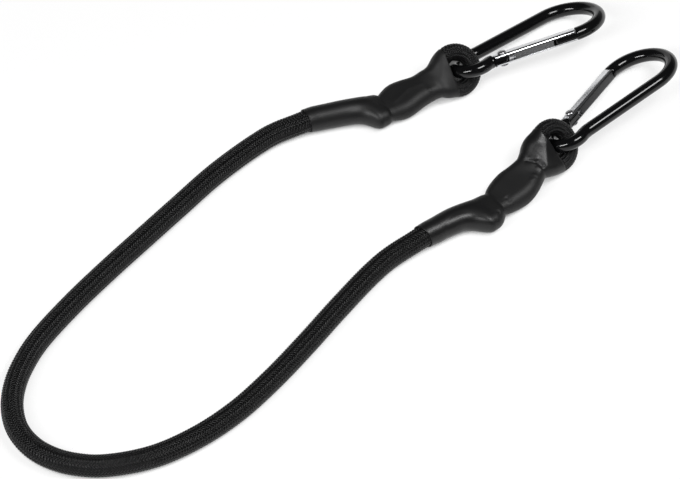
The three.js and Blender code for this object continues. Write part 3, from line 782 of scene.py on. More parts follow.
def steel_material():
    s = Surface("plain_steel", Metallic=1.0)
    grain = s.effect(GRAIN, Vector=s.where(), Scale=1800.0, Cloud_Scale=260.0)
    s.give("Base Color", s.blend(grain["Clouds"], (0.42, 0.42, 0.43), (0.66, 0.66, 0.67)))
    s.give("Roughness", s.ranged(grain["Fine"], 0.22, 0.4))
    s.bump(grain["Fine"], depth=0.00001)
    return s.material


def rubber_material():
    s = Surface("raw_rubber")
    where = s.where()
    grain = s.effect(GRAIN, Vector=where, Scale=1500.0, Cloud_Scale=200.0)
    talc = s.effect(DUST, Vector=where, Scale=1200.0, Cover=0.5)
    shade = s.calc("ADD", grain["Clouds"], talc["Mask"])
    s.give("Base Color", s.blend(shade, (0.42, 0.33, 0.19), (0.66, 0.56, 0.38)))
    s.give("Roughness", s.ranged(grain["Clouds"], 0.5, 0.75))
    s.bump(grain["Fine"], depth=0.00003)
    return s.material


YARN = yarn_material()
LINING = lining_material()
SLEEVE = sleeve_material()
ROD = rod_material()
GATE = gate_material()
STEEL = steel_material()
RUBBER = rubber_material()
BRAID = braid_tree()
BUNDLE = bundle_tree()
COIL = coil_tree()


# Folded end of the cord
def bulge(x):
    return rounded_hump(x, BAND_SPACING / 2, BULGE_SWELL, BAND_SPACING / 2)


def folded_radius(x, is_tail):
    thinning = smoothstep(x, MOUTH / 2, 0)
    base = FOLDED_RADIUS if is_tail else mix(SLEEVED_RADIUS, FOLDED_RADIUS, thinning)
    at_tail = rounded_hump(x, 0, TAIL_SQUEEZE, SQUEEZE_REACH)
    at_eye = rounded_hump(x, BAND_SPACING, EYE_SQUEEZE, SQUEEZE_REACH)
    return base + bulge(x) - at_tail - at_eye


def squeezed(x, humps):
    """How much thinner a hidden run is where the skin is drawn in on its side."""
    return HIDDEN_SQUEEZE * np.maximum(0, -sum(rounded_hump(x, *row) for row in humps))


class Fold:
    """One folded end in its own frame: x runs along its axis from the tail band to the eye."""

    def __init__(self, place, heading, approach, tail_length, eye_reach, gate_up):
        self.approach = math.tan(math.radians(approach))
        self.tail_end = -tail_length
        self.eye = BAND_SPACING + eye_reach
        self.web_edge = self.eye - WEB_SETBACK
        self.gate_up = gate_up
        turn = Matrix.Rotation(math.radians(heading), 4, "Z")
        self.matrix = Matrix.Translation((*place, 0)) @ turn
        self.rotation = np.array(self.matrix.to_3x3()).T

    def climb(self, x):
        return smoothstep(x, CLIMB_START, self.eye)

    def tilt(self, x):
        return EYE_TILT * smoothstep(x, TWIST_START, self.eye)

    def across(self, x):
        tilt = self.tilt(x)
        return np.stack([0 * tilt, np.cos(tilt), np.sin(tilt)], axis=-1)

    def over(self, x):
        tilt = self.tilt(x)
        return np.stack([0 * tilt, -np.sin(tilt), np.cos(tilt)], axis=-1)

    def axis(self, x):
        x = np.asarray(x, float)
        settled = mix(MOUTH_HEIGHT, REST_HEIGHT, smoothstep(x, -SETTLE_LENGTH, 0))
        return np.stack([x, 0 * x, mix(settled, EYE_LIFT, self.climb(x))], axis=-1)

    def spread(self, x):
        pressed = folded_radius(x, True) + FIT_GAP / 2
        return mix(pressed, EYE_RADIUS, smoothstep(x, BAND_SPACING + BAND_WIDTH / 2, self.eye))

    def standing(self, x):
        """Offset of the run that comes in from the free cord."""
        t = np.clip(1 + x / MOUTH_TO_BAND, None, 1)
        arriving = mix(APPROACH_OFFSET, self.spread(0.0), 3 * t**2 - 2 * t**3)
        arriving += -self.approach * MOUTH_TO_BAND * (t**3 - 2 * t**2 + t)
        return np.where(x >= 0, self.spread(x), arriving)

    def returning(self, x):
        """Offset of the run that goes back from the eye to the tail."""
        splay = TAIL_SPLAY * smoothstep(-x, BAND_WIDTH / 2, -self.tail_end)
        return -self.spread(np.maximum(x, self.tail_end)) - splay

    def place(self, x, offset):
        return self.axis(x) + self.across(x) * np.asarray(offset)[..., None]

    def ring(self, x, outline):
        return self.axis(x) + outline[:, :1] * self.across(x) + outline[:, 1:] * self.over(x)

    def in_frame(self, points):
        return np.asarray(points) @ self.rotation + np.array(self.matrix.translation)

    def cord_line(self, skin):
        """Middle line, upward directions and radii of the cord, from the mouth to the cut end."""
        first = MOUTH + MOUTH_INSERT + 2 * FIT_GAP
        inside = np.linspace(first, self.eye, STANDING_POINTS)[:-1]
        back = np.linspace(self.eye, self.tail_end, TAIL_POINTS)[1:]
        turn = np.linspace(np.pi / 2, -np.pi / 2, LOOP_POINTS)[:, None]
        centre = self.axis(self.eye)
        spokes = np.sin(turn) * self.across(self.eye) + np.cos(turn) * np.array([1.0, 0, 0])
        line = np.vstack([
            self.place(inside, self.standing(inside)),
            centre + EYE_RADIUS * spokes,
            self.place(back, self.returning(back)),
        ])
        loop_tops = np.tile(self.over(self.eye), (LOOP_POINTS, 1))
        tops = np.vstack([self.over(inside), loop_tops, self.over(back)])
        radii = np.concatenate([
            folded_radius(inside, False) - squeezed(inside, skin["standing"]),
            np.full(LOOP_POINTS, FOLDED_RADIUS),
            folded_radius(back, True) - squeezed(back, skin["tail"]),
        ])
        crest = smoothstep(
            line[:, 0], self.web_edge - CREST_BEFORE_EDGE, self.web_edge + CREST_PAST_EDGE
        )
        radii += CREST_FULLNESS * crest
        line += CREST_SHIFT * crest[:, None] * unit(line - centre)
        return self.in_frame(line), tops @ self.rotation, radii


NEAR = Fold(
    place=(0.00069, -0.04973), heading=47.8, approach=12, tail_length=0.0095, eye_reach=0.0164,
    gate_up=False,
)
FAR = Fold(
    place=(-0.04661, 0.00757), heading=30, approach=7, tail_length=0.0065, eye_reach=0.012,
    gate_up=True,
)


def stretched_round(runs, margin, sides, blend=0.0):
    """Outline (across, over) stretched round runs of cord, given as (offset, radius, rise).

    On the tail's side the first and last runs are bridged softly, by the blend.
    """
    middle = (max(v + r for v, r, _ in runs) + min(v - r for v, r, _ in runs)) / 2
    facing = round_angles(4 * sides)
    reaches = [(v - middle) * np.cos(facing) + w * np.sin(facing) + r for v, r, w in runs]
    bridge = blend * (1 - np.cos(facing)) / 2
    bridged = (reaches[0] + reaches[-1] + np.hypot(reaches[0] - reaches[-1], bridge)) / 2
    support = np.max([bridged, *reaches[1:-1]], axis=0) + margin
    angles = round_angles(sides)
    lean = np.cos(angles[:, None] - facing[None, :])
    limits = np.where(lean > LEAST_LEAN, support / np.maximum(lean, LEAST_LEAN), np.inf)
    distance = np.min(limits, axis=1)
    return np.stack([middle + distance * np.cos(angles), distance * np.sin(angles)], axis=1)


# Shrunk sleeve
def waist(x, middle, depth, reach):
    """How far the skin draws in over a band, in a notch with its own reach before and after."""
    off = np.sqrt((x - middle) ** 2 + WAIST_ROUNDING**2) - WAIST_ROUNDING
    return depth * np.exp(-off / reach[int(x > middle)])


def skin_radius(x, is_tail, skin):
    """Radius that the skin shows for one run of the cord."""
    base = FOLDED_RADIUS
    if not is_tail:
        settled = smoothstep(x, MOUTH + MOUTH_INSERT, MOUTH + 3 * MOUTH_INSERT)
        thinning = smoothstep(x, THINNING_START, skin["tail_waists"][0])
        base = mix(mix(CORD_RADIUS, skin["tube"], settled), FOLDED_RADIUS, thinning)
    at_tail = waist(x, skin["tail_waists"][int(is_tail)], TAIL_WAIST, TAIL_WAIST_REACH)
    at_eye = waist(x, skin["eye_waists"][int(is_tail)], EYE_WAIST, EYE_WAIST_REACH)
    return float(base + bulge(x) - at_tail - at_eye)


def fuller(x, humps):
    """How far the skin stands off to one side, from (middle, height, reach) humps."""
    return float(sum(rounded_hump(x, *row) for row in humps))


def skin_section(fold, x, skin):
    """Runs that the skin is stretched round at one station, and how softly it bridges them."""
    fan = smoothstep(x, BAND_SPACING + BAND_WIDTH / 2, fold.eye)
    at = max(x, fold.tail_end)
    wider = (skin_radius(at, True, skin) - folded_radius(at, True)) * (1 - fan)
    standing = float(fold.standing(x) + wider * smoothstep(x, THINNING_START, 0))
    standing += fuller(x, skin["standing"])
    runs = [(standing, skin_radius(x, False, skin), 0.0)]
    if x < fold.tail_end:
        runs.append((float(fold.standing(x)), float(folded_radius(x, False)), 0.0))
    reach = float(np.clip((x - fold.tail_end + FIT_GAP) / skin["ramp"] + 1, 0, 1))
    eased = float(smoothstep(reach, 0, 1))
    if reach > 0:
        tail = float(fold.returning(at) - wider) - fuller(at, skin["tail"])
        full = skin_radius(at, True, skin)
        radius = full * mix(TAIL_START, 1, eased)
        runs.append((mix(standing, tail, eased), radius, radius - full))
    passed = smoothstep(x, fold.tail_end, fold.tail_end + TAIL_BLEND_END)
    return runs, TAIL_BLEND * float(eased * (1 - passed))


def creased(x, across, start, stop, height, left, right):
    """Height of one crease: a sharp line between two places, falling away to both sides."""
    start, stop = np.array(start), np.array(stop)
    length = np.linalg.norm(stop - start)
    ahead = (stop - start) / length
    dx, dv = x - start[0], across - start[1]
    run = (dx * ahead[0] + dv * ahead[1]) / length
    off = dx * -ahead[1] + dv * ahead[0]
    fade = smoothstep(run, *CREASE_RISE) * (1 - smoothstep(run, *CREASE_FALL))
    rounded = np.sqrt(off**2 + CREASE_ROUNDING**2) - CREASE_ROUNDING
    return height * fade * np.exp(-rounded / np.where(off > 0, left, right))


# Each sleeve's skin: the radius of its tube, where its waists lie (standing run, tail), the length
# over which the tail rises, how far the tail's tip stands out, humps as (middle, height, reach) by
# which it stands off to each side, roughness as (along, level), and creases as start and stop
# (along, across), height and reach to each side
NEAR_SKIN = {
    "tube": 0.0049, "ramp": 0.009, "tip": 0.0,
    "tail_waists": (0.002, 0.0006), "eye_waists": (0.0245, 0.0269),
    "standing": [
        (-0.016, 0.0015, 0.015), (-0.001, -0.0007, 0.0045),
        (0.02, -0.0006, 0.008), (0.03, 0.0015, 0.0075),
    ],
    "tail": [(0.016, 0.0013, 0.013), (-0.005, 0.0009, 0.005)],
    "dullness": [(-0.012, 0.36), (0.0, 0.5), (0.02, 0.54), (0.027, 0.4), (0.034, 0.34)],
    "creases": [
        ((0.0364, 0.0055), (0.0286, -0.0047), 0.0009, 0.0025, 0.008),
        ((0.0242, 0.0036), (0.0267, 0.0), -0.0006, 0.0006, 0.0006),
        ((0.0267, 0.0), (0.028, -0.0039), -0.0006, 0.0006, 0.0006),
        ((0.0255, 0.0034), (0.0279, 0.0005), 0.0004, 0.0008, 0.0005),
        ((0.0252, -0.0023), (0.0259, -0.0052), 0.0003, 0.0005, 0.0005),
        ((0.0213, -0.0042), (0.0221, -0.0069), 0.0002, 0.0005, 0.0005),
        ((0.0182, -0.0058), (0.0207, -0.0068), 0.0002, 0.0005, 0.0005),
        ((0.0048, -0.0033), (0.0044, -0.0061), -0.0005, 0.0006, 0.0008),
        ((-0.0036, -0.0058), (-0.0045, -0.0084), -0.0003, 0.0006, 0.0006),
    ],
}
FAR_SKIN = {
    "tube": 0.0051, "ramp": 0.0075, "tip": 0.0005,
    "tail_waists": (0.0, 0.0), "eye_waists": (0.0235, 0.0255),
    "standing": [
        (-0.008, 0.0013, 0.02), (0.007, 0.0013, 0.008),
        (0.018, -0.0009, 0.006), (0.03, 0.001, 0.006),
    ],
    "tail": [(-0.007, -0.0014, 0.006), (0.016, -0.0013, 0.011), (0.028, 0.0012, 0.006)],
    "dullness": [(-0.008, 0.44), (0.0, 0.52), (0.03, 0.52)],
    "creases": [
        ((0.0035, -0.0017), (0.0115, 0.0008), 0.0004, 0.0022, 0.0022),
        ((0.0115, 0.0008), (0.0185, -0.0004), 0.0004, 0.0022, 0.0022),
        ((-0.0029, 0.0016), (0.0007, -0.0057), -0.0003, 0.0008, 0.0008),
        ((0.02, -0.0039), (0.02, -0.0058), 0.0003, 0.0005, 0.0005),
        ((0.0318, 0.0052), (0.0255, -0.003), 0.0004, 0.003, 0.006),
    ],
}


def smoothed_along(rings, share):
    """Rings averaged with their neighbours along the sleeve, each by its share."""
    stack = np.array(rings)
    for _ in range(CORNER_PASSES):
        mean = stack.copy()
        mean[1:-1] = (stack[:-2] + stack[1:-1] + stack[2:]) / 3
        stack = mix(stack, mean, share[:, None, None])
    return list(stack)


def sleeve(end, fold, skin):
    """Shrunk sleeve: a thin skin stretched round both runs of the cord, with rolled edges."""
    stations = np.arange(MOUTH, fold.web_edge, SLEEVE_STEP)
    stations = np.append(stations[:-1], fold.web_edge)

    def ring(x, is_outer):
        at_mouth = 1 - float(smoothstep(x, MOUTH, MOUTH + MOUTH_INSERT))
        at_web = float(smoothstep(x, fold.web_edge - WEB_REACH, fold.web_edge))
        gap = mix(mix(SKIN_GAP, MOUTH_GAP, at_mouth), WEB_GAP, at_web)
        wall = mix(mix(SLEEVE_WALL, MOUTH_WALL, at_mouth), WEB_WALL, at_web)
        runs, blend = skin_section(fold, x, skin)
        outline = stretched_round(runs, gap + (wall if is_outer else 0), SLEEVE_SIDES, blend)
        across, over = outline[:, 0].copy(), outline[:, 1].copy()
        relief = sum(creased(x, across, *crease) for crease in skin["creases"])
        flank = np.clip(CREASE_FLANK * np.abs(over) / np.max(np.abs(over)), 0, 1)
        outline[:, 1] += np.where(over > 0, relief * flank, 0)
        tip = hump(np.arange(SLEEVE_SIDES), np.argmin(across), TIP_SIDES)
        outline[:, 0] -= skin["tip"] * float(hump(x, fold.tail_end + TIP_PLACE, TIP_LENGTH)) * tip
        placed = fold.ring(x, outline)
        placed[:, 2] = np.maximum(placed[:, 2], FLOOR_SKIN if is_outer else 2 * FLOOR_SKIN)
        return placed

    def lip(x, roll):
        return 0.5 * (ring(x, True) + ring(x, False)) + np.array([roll, 0, 0])

    corner = hump(stations, fold.tail_end - CORNER_PLACE * skin["ramp"], CORNER_REACH)
    outer = smoothed_along([ring(x, True) for x in stations], corner)
    inner = smoothed_along([ring(x, False) for x in stations], corner)
    mouth_lip, web_lip = lip(stations[0], -LIP_ROLL), lip(stations[-1], LIP_ROLL)
    rings = [mouth_lip, *outer, web_lip, *reversed(inner)]
    piece = loft(f"{end}_sleeve", [fold.in_frame(r) for r in rings], SLEEVE, looped=True)
    along = [stations[0], *stations, stations[-1], *reversed(stations)]
    levels = np.interp(along, *zip(*skin["dullness"]))
    marked(piece, "dullness", "FLOAT", "value", np.repeat(levels, SLEEVE_SIDES))
    belongs(piece, "cord", "sleeve", f"{end}_shrink_sleeve")


def crimped_band(end, kind, fold, x):
    half = BAND_WIDTH / 2
    easing = [
        (-half, BAND_EDGE_SHARE), (-half + BAND_EDGE, 1.0), (0.0, 1.0),
        (half - BAND_EDGE, 1.0), (half, BAND_EDGE_SHARE),
    ]

    def ring(at, margin):
        standing = (float(fold.standing(at)), float(folded_radius(at, False)), 0.0)
        returning = (float(fold.returning(at)), float(folded_radius(at, True)), 0.0)
        outline = stretched_round([standing, returning], margin, BAND_SIDES)
        return fold.in_frame(fold.ring(at, outline))

    outer = [ring(x + dx, BAND_GAP + BAND_THICKNESS * share) for dx, share in easing]
    inner = [ring(x + dx, BAND_GAP) for dx, _ in reversed(easing)]
    piece = loft(f"{end}_{kind}_clip", outer + inner, STEEL, looped=True)
    belongs(piece, "cord", "steel", f"{end}_{kind}_band")


# Cord
def braided(name, line, girths, lead, parts):
    """Braid along a line, in as many pieces as keep each one's mesh small."""
    turns = lengths_along(line)[-1] / lead
    sizes = {
        "Strands Each Way": STRANDS_EACH_WAY, "Turns": turns,
        "Steps": int(turns * STRANDS_EACH_WAY / 2 * STEPS_PER_WAVE / parts),
        "Strand Width": STRAND_WIDTH, "Strand Thickness": STRAND_THICKNESS,
        "Interlace": INTERLACE, "Material": YARN,
    }
    names = [name] if parts == 1 else [f"{name}_{i + 1}" for i in range(parts)]
    return [
        grown(part, BRAID, {**sizes, "From": i / parts, "To": (i + 1) / parts}, line, girths)
        for i, part in enumerate(names)
    ]


def rubber_strands(name, line, girths, steps):
    sizes = {
        "Strands": RUBBER_STRANDS, "Steps": steps, "Fill": RUBBER_FILL,
        "Strand Diameter": RUBBER_DIAMETER, "Material": RUBBER,
    }
    return grown(name, BUNDLE, sizes, line, girths)


def folded_cord(end, fold, skin):
    line, tops, radii = fold.cord_line(skin)
    rings = circle_rings(line, tops, radii - LINING_DEPTH, EYE_LINING_SIDES)
    belongs(loft(f"{end}_eye_lining", rings, LINING), "cord", "braid")
    run = lengths_along(line)
    girths = np.interp(np.linspace(0, 1, EYE_POINTS), run / run[-1], radii)
    line = evenly(line, EYE_POINTS)
    for part in braided(f"{end}_eye_braid", line, girths, EYE_STRAND_LEAD, 1):
        belongs(part, "cord", "braid", f"{end}_eye_sheath")
    core = rubber_strands(f"{end}_eye_strands", line, girths - EYE_CORE_DEPTH, EYE_CORE_STEPS)
    belongs(core, "cord", "rubber", f"{end}_eye_core")


def free_cord():
    """The stretch of cord between the sleeves."""
    at_mouth = MOUTH + np.array([1, 0, -1]) * MOUTH_INSERT

    def inside(fold):
        return fold.in_frame(fold.place(at_mouth, fold.standing(at_mouth)))

    route = np.array([(x, y, CORD_RADIUS) for x, y in CORD_ROUTE])
    line = smooth_route(np.vstack([inside(FAR), route, inside(NEAR)[::-1]]))
    line[:, 2] = np.maximum(line[:, 2], CORD_RADIUS)
    line = evenly(line, CORD_POINTS)
    rings = circle_rings(line, UP, CORD_RADIUS - LINING_DEPTH, CORD_LINING_SIDES)
    lining = loft("cord_lining", rings, LINING)
    belongs(lining, "cord", "braid", "cord_sheath")
    girths = np.full(len(line), CORD_RADIUS)
    braid = braided("cord_braid", line, girths, STRAND_LEAD, CORD_PIECES)
    for part in braid:
        belongs(part, "cord", "braid", "cord_sheath")
    core = rubber_strands("cord_strands", line, girths - CORE_DEPTH, CORE_STEPS)
    belongs(core, "cord", "rubber", "rubber_core")
    mouth = inside(FAR)[1]


# Snap hook, drawn in its own plane with the small bow's centre at the origin and the gate on +Y
def straight_side(side, neck):
    """One straight side and the bend, a neck of (depth, radius), that joins it to the small bow."""
    depth, radius = neck
    near = SMALL_BOW - depth
    sine = (BIG_BOW - near) / BOW_DISTANCE
    cosine = math.sqrt(1 - sine**2)
    normal, along = np.array([-sine, side * cosine]), np.array([cosine, side * sine])
    reach = math.sqrt((SMALL_BOW + radius) ** 2 - (near + radius) ** 2)
    centre = normal * (near + radius) + along * reach
    return {
        "along": along, "centre": centre, "radius": radius,
        "start": normal * near + along * reach,
        "end": np.array([BOW_DISTANCE, 0]) + normal * BIG_BOW,
        "normal_angle": math.atan2(normal[1], normal[0]),
        "bow_angle": math.atan2(centre[1], centre[0]),
    }


GATE_SIDE = straight_side(1, GATE_NECK)
SPINE_SIDE = straight_side(-1, SPINE_NECK)
GATE_SPACE = float(np.linalg.norm(GATE_SIDE["end"] - GATE_SIDE["start"]))
GATE_LENGTH = GATE_SPACE - NOSE_GAP
GATE_TURN = math.atan2(GATE_SIDE["along"][1], GATE_SIDE["along"][0])
ALONG_GATE = Matrix.Translation((*GATE_SIDE["start"], 0)) @ Matrix.Rotation(GATE_TURN, 4, "Z")
ON_PIVOT = Matrix.Translation((PIVOT_DISTANCE, 0, 0)) @ Matrix.Rotation(math.pi / 2, 4, "Y")
IN_BORE = Matrix.Translation((0, BORE_OFFSET, 0))


def rod_line():
    """Middle line of the bent rod from the hinge end round both bows to the nose."""
    gate, spine = GATE_SIDE, SPINE_SIDE

    def bend(centre, radius, start, stop):
        return arc(centre, radius, start, stop, BOW_STEP)

    parts = [
        bend(
            gate["centre"], gate["radius"],
            gate["normal_angle"] - math.pi, gate["bow_angle"] - math.pi,
        ),
        bend((0, 0), SMALL_BOW, gate["bow_angle"], spine["bow_angle"] + 2 * math.pi),
        bend(
            spine["centre"], spine["radius"],
            spine["bow_angle"] + math.pi, spine["normal_angle"] + math.pi,
        ),
        np.linspace(spine["start"], spine["end"], SPINE_POINTS),
        bend((BOW_DISTANCE, 0), BIG_BOW, spine["normal_angle"], gate["normal_angle"]),
    ]
    flat = np.vstack([parts[0]] + [p[1:] for p in parts[1:]])
    return np.column_stack([flat, np.zeros(len(flat))])


def hook_matrix(fold):
    """The small bow hangs on the eye's crest and the big bow's lower side rests on the floor."""
    seat = SMALL_BOW - ROD_RADIUS - FOLDED_RADIUS - EYE_SLACK
    rod_reach = ROD_RADIUS / math.cos(math.pi / SOLID_ROD_SIDES)
    gate_reach = (GATE_HEIGHT / 2 - GATE_CORNER) * math.sin(HOOK_ROLL)
    gate_reach += (GATE_WIDTH / 2 - GATE_CORNER) * math.cos(HOOK_ROLL) + GATE_CORNER
    lowest = rod_reach if fold.gate_up else max(rod_reach, gate_reach)
    pitch = math.asin((lowest + BIG_BOW * math.sin(HOOK_ROLL) - EYE_LIFT) / BOW_DISTANCE)
    roll = math.pi - HOOK_ROLL if fold.gate_up else -HOOK_ROLL
    turn = Euler((roll, -pitch, 0), "XYZ").to_matrix().to_4x4()
    hung = Matrix.Translation((fold.eye + EYE_RADIUS + seat, 0, EYE_LIFT))
    return fold.matrix @ hung @ turn


def prism(name, outline, low, high, material):
    """A plate with the given outline in XY, between two heights."""
    rings = [[(x, y, z) for x, y in outline] for z in (low, high)]
    return loft(name, rings, material)


def block(name, low, high, material):
    outline = [(low[0], low[1]), (high[0], low[1]), (high[0], high[1]), (low[0], high[1])]
    return prism(name, outline, low[2], high[2], material)


def turned(name, profile, material, sides=40):
    """A body turned on a lathe: (radius, place) pairs along X, closed at both ends."""
    angles = round_angles(sides)
    rings = [[(x, r * math.cos(a), r * math.sin(a)) for a in angles] for r, x in profile]
    return loft(name, rings, material)


def tang_outline():
    half = TANG_HEIGHT / 2
    round_end = arc((TANG_LENGTH - half, 0), half, 0, math.pi / 2, PLATE_STEP)
    heel = [(TANG_LENGTH - (half - TANG_HEEL), -half), (TANG_LENGTH, -TANG_HEEL)]
    return [(-END_OVERLAP, -half), *heel, *map(tuple, round_end), (-END_OVERLAP, half)]


def tongue_outline():
    low = -GATE_HEIGHT / 2 + NOSE_FLOOR + FIT_GAP
    half = TONGUE_HEIGHT / 2
    tip = GATE_SPACE - TONGUE_LENGTH
    root = GATE_SPACE + END_OVERLAP
    round_end = arc((tip + half, low + half), half, math.pi / 2, 1.5 * math.pi, PLATE_STEP)
    return [(root, low), (root, low + TONGUE_HEIGHT), *map(tuple, round_end)]


def rivet_hole():
    radius = RIVET_RADIUS + FIT_GAP
    hole = turned("hole", [(radius, -2 * GATE_WIDTH), (radius, 2 * GATE_WIDTH)], STEEL)
    return moved(hole, ON_PIVOT)


def bent_rod(end, fold):
    line = rod_line()
    run = lengths_along(line)
    to_end = np.minimum(run, run[-1] - run)
    radii = ROD_RADIUS - ROD_END_DROP * (1 - np.clip(to_end / ROD_END_LENGTH, 0, 1)) ** 2
    rod = loft(f"{end}_rod", circle_rings(line, UP, radii, ROD_SIDES), ROD)
    half = TANG_THICKNESS / 2
    for name, outline in (("tang", tang_outline()), ("tongue", tongue_outline())):
        plate = edges_broken(prism(name, outline, -half, half, ROD), PLATE_EDGE, degrees=50)
        carved(rod, "UNION", moved(plate, ALONG_GATE))
    carved(rod, "DIFFERENCE", moved(rivet_hole(), ALONG_GATE))
    sharp_edges(moved(rod, hook_matrix(fold)), degrees=40)
    belongs(rod, f"{end}_carabiner", "black_rod", f"{end}_carabiner_body")


def gate_section():
    """Rounded-square section of the gate in (height, width)."""
    high, wide = GATE_HEIGHT / 2 - GATE_CORNER, GATE_WIDTH / 2 - GATE_CORNER
    middles = [(high, wide), (-high, wide), (-high, -wide), (high, -wide)]
    quarter = math.pi / 2
    return np.vstack([
        arc(middle, GATE_CORNER, i * quarter, (i + 1) * quarter, GATE_STEP)
        for i, middle in enumerate(middles)
    ])


def gate_bar(end, fold):
    section = gate_section()
    easing = [
        (0.0, GATE_END_SHARE), (GATE_EDGE, 1.0),
        (GATE_LENGTH - GATE_EDGE, 1.0), (GATE_LENGTH, GATE_END_SHARE),
    ]
    rings = [[(x, y * share, z * share) for y, z in section] for x, share in easing]
    bar = loft(f"{end}_gate_bar", rings, GATE)
    past_end = GATE_LENGTH + CUT_OVERRUN
    reach = PIVOT_DISTANCE - FIT_GAP
    round_end = arc((PIVOT_DISTANCE, 0), reach, math.pi / 2, 1.5 * math.pi, GATE_STEP)
    outline = [*map(tuple, round_end), (past_end, -reach), (past_end, reach)]
    carved(bar, "INTERSECT", prism("trim", outline, -GATE_WIDTH, GATE_WIDTH, GATE))
    slot = TANG_THICKNESS / 2 + FIT_GAP
    low, high = (-CUT_OVERRUN, -GATE_HEIGHT, -slot), (HINGE_SLOT_DEPTH, GATE_HEIGHT, slot)
    carved(bar, "DIFFERENCE", block("hinge_slot", low, high, GATE))
    nose = GATE_SPACE - TONGUE_LENGTH - NOSE_SLOT_MARGIN
    low, high = (nose, NOSE_FLOOR - GATE_HEIGHT / 2, -slot), (past_end, GATE_HEIGHT, slot)
    carved(bar, "DIFFERENCE", block("nose_slot", low, high, GATE))
    bore_start = HINGE_SLOT_DEPTH - CUT_OVERRUN
    bore_end = SPRING_START + SPRING_LENGTH + FIT_GAP
    bore = turned("bore", [(BORE_RADIUS, bore_start), (BORE_RADIUS, bore_end)], GATE)
    carved(bar, "DIFFERENCE", moved(bore, IN_BORE))
    carved(bar, "DIFFERENCE", rivet_hole())
    marked(bar, "local", "FLOAT_VECTOR", "vector", [v.co for v in bar.data.vertices])
    sharp_edges(moved(bar, hook_matrix(fold) @ ALONG_GATE), degrees=38)
    belongs(bar, f"{end}_gate", "bright_gate", f"{end}_gate")


def hinge_rivet(end, fold):
    inside = GATE_WIDTH / 2 + FIT_GAP
    head = [
        (RIVET_HEAD_RADIUS * math.cos(a) + ON_AXIS, inside + RIVET_HEAD_HEIGHT * math.sin(a))
        for a in np.linspace(0, np.pi / 2, RIVET_HEAD_RINGS)
    ]
    shank = [(RIVET_RADIUS, -inside), (RIVET_RADIUS, inside)]
    profile = [(r, -z) for r, z in reversed(head)] + shank + head
    rivet = turned(f"{end}_rivet", profile, STEEL, sides=36)
    sharp_edges(moved(rivet, hook_matrix(fold) @ ALONG_GATE @ ON_PIVOT), degrees=50)
    belongs(rivet, f"{end}_gate", "steel", f"{end}_hinge_rivet")


def spring_and_plunger(end, fold):
    place = hook_matrix(fold) @ ALONG_GATE @ IN_BORE
    radius = BORE_RADIUS - FIT_GAP
    sizes = {
        "Turns": float(SPRING_TURNS), "Steps": SPRING_STEPS_PER_TURN * SPRING_TURNS,
        "Length": SPRING_LENGTH - 2 * SPRING_WIRE_RADIUS,
        "Coil Radius": radius - SPRING_WIRE_RADIUS,
        "Wire Diameter": 2 * SPRING_WIRE_RADIUS, "Material": STEEL,
    }
    coil = grown(f"{end}_coil", COIL, sizes)
    moved(coil, place @ Matrix.Translation((SPRING_START + SPRING_WIRE_RADIUS, 0, 0)))
    belongs(coil, f"{end}_gate", "steel", f"{end}_gate_spring")
    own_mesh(coil)
    start, stop = PLUNGER_START, PLUNGER_START + PLUNGER_LENGTH
    round_nose = [(r * radius, start + x * radius) for r, x in PLUNGER_NOSE]
    flat_foot = [(radius, stop - PLUNGER_EDGE), (radius - PLUNGER_EDGE, stop), (ON_AXIS, stop)]
    pin = turned(f"{end}_pin", [(ON_AXIS, start), *round_nose, *flat_foot], STEEL, sides=28)
    sharp_edges(moved(pin, place), degrees=50)
    belongs(pin, f"{end}_plunger", "steel", f"{end}_gate_plunger")


# Studio
def make_camera():
    data = bpy.data.cameras.new("camera")
    data.lens = VIEW_LENS
    data.clip_end = VIEW_REACH
    camera = bpy.data.objects.new("camera", data)
    scene.collection.objects.link(camera)
    back = Vector((0, -math.cos(VIEW_ELEVATION), math.sin(VIEW_ELEVATION)))
    camera.location = VIEW_TARGET + back * VIEW_DISTANCE
    camera.rotation_euler = (-back).to_track_quat("-Z", "Y").to_euler()
    scene.camera = camera


def floor_material():
    """White to the camera and in reflections; painted shade under the object and the small bows."""
    s = Surface("pale_floor", Roughness=0.9, Specular_IOR_Level=0.0)
    grain = s.effect(GRAIN, Vector=s.where(), Scale=400.0, Cloud_Scale=3.0)
    pale = s.blend(grain["Clouds"], (0.84, 0.84, 0.84), (0.86, 0.86, 0.86))
    path = s.add("ShaderNodeLightPath").outputs
    seen = s.calc("MAXIMUM", path["Is Camera Ray"], path["Is Glossy Ray"])
    seen = s.calc("MAXIMUM", seen, path["Is Transmission Ray"])
    # Painted shade: colour and glow fade where the floor is closed in, and under each small bow.
    inputs = {"Distance": TIGHT_PLACE}
    open_air = s.add("ShaderNodeAmbientOcclusion", inputs, samples=8).outputs["AO"]
    for fold in (NEAR, FAR):
        along, across = BOW_SHADE_PLACE
        inputs = {0: s.where(), 1: tuple(fold.in_frame((fold.eye + along, across, 0.0)))}
        off = s.add("ShaderNodeVectorMath", inputs, operation="DISTANCE").outputs["Value"]
        under_bow = s.ranged(off, BOW_SHADE, 0.0, between=BOW_SHADE_REACH)
        open_air = s.calc("SUBTRACT", open_air, under_bow)
    clear = s.ranged(open_air, 0.0, 1.0, between=OPEN_AIR)
    share = s.calc("MULTIPLY", s.ranged(seen, 1.0, FLOOR_SHADE), clear)
    s.give("Base Color", s.scaled(pale, share))
    s.shader.inputs["Emission Color"].default_value = (1, 1, 1, 1)
    bright = s.calc("MULTIPLY", clear, FLOOR_GLOW)
    s.give("Emission Strength", s.calc("MULTIPLY", seen, bright))
    return s.material


def make_floor():
    r = FLOOR_REACH
    corners = [(-r, -r, 0), (r, -r, 0), (r, r, 0), (-r, r, 0)]
    floor = new_piece("floor", corners, [(0, 1, 2, 3)], floor_material())


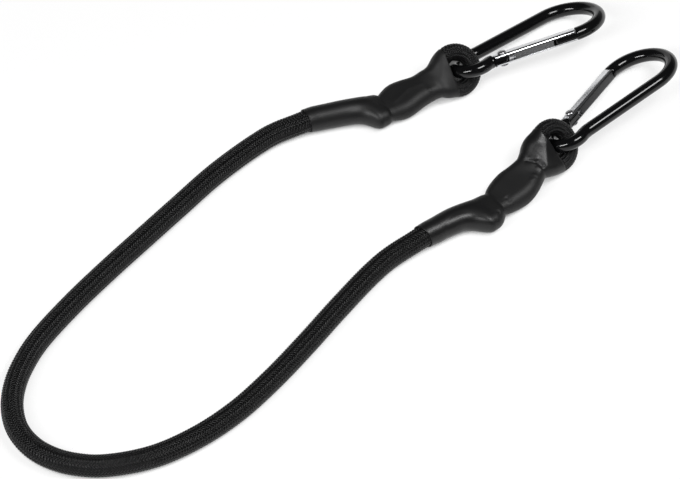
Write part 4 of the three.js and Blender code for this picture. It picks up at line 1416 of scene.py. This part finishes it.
def softbox(name, direction, distance, along, width, height, power):
    """A lamp at a distance in one direction, with its width turned along another."""
    data = bpy.data.lights.new(name, "AREA")
    data.shape = "RECTANGLE"
    data.size, data.size_y = width, height
    data.energy = power
    lamp = bpy.data.objects.new(name, data)
    scene.collection.objects.link(lamp)
    back = Vector(direction).normalized()
    wide = (Vector(along) - back * Vector(along).dot(back)).normalized()
    turn = Matrix((wide, back.cross(wide), back)).transposed()
    lamp.matrix_world = Matrix.Translation(Vector(LIT_PLACE) + back * distance) @ turn.to_4x4()


def make_light():
    world = bpy.data.worlds.new("studio")
    scene.world = world
    world.use_nodes = True
    world.node_tree.nodes.clear()
    sky = Nodes(world.node_tree)
    facing = sky.add("ShaderNodeTexCoord").outputs["Generated"]
    height = sky.add("ShaderNodeSeparateXYZ", {0: facing}).outputs["Z"]
    level = sky.ranged(height, HORIZON_LEVEL, WORLD_LEVEL, between=HORIZON_BAND)
    light = sky.add("ShaderNodeBackground", {"Color": (1, 1, 1, 1), "Strength": level})
    sky.add("ShaderNodeOutputWorld", {"Surface": light.outputs[0]})
    softbox(
        "long_box", direction=(0.44, -0.15, 0.885), distance=1.3, along=(0.5, 0.5, -0.15),
        width=0.65, height=0.36, power=12,
    )
    softbox(
        "small_box", direction=(-0.48, -0.57, 0.65), distance=1.3, along=(0.73, -0.08, 0.44),
        width=0.75, height=0.18, power=11,
    )
    softbox(
        "back_card", direction=(-0.25, 0.95, 0.14), distance=1.5, along=(1, 0.26, 0),
        width=1.0, height=0.4, power=0.6,
    )


make_camera()
free_cord()
for end_name, end_fold, end_skin in (("near", NEAR, NEAR_SKIN), ("far", FAR, FAR_SKIN)):
    folded_cord(end_name, end_fold, end_skin)
    crimped_band(end_name, "tail", end_fold, 0.0)
    crimped_band(end_name, "eye", end_fold, BAND_SPACING)
    bent_rod(end_name, end_fold)
    gate_bar(end_name, end_fold)
    hinge_rivet(end_name, end_fold)
    spring_and_plunger(end_name, end_fold)
    sleeve(end_name, end_fold, end_skin)
make_floor()
make_light()
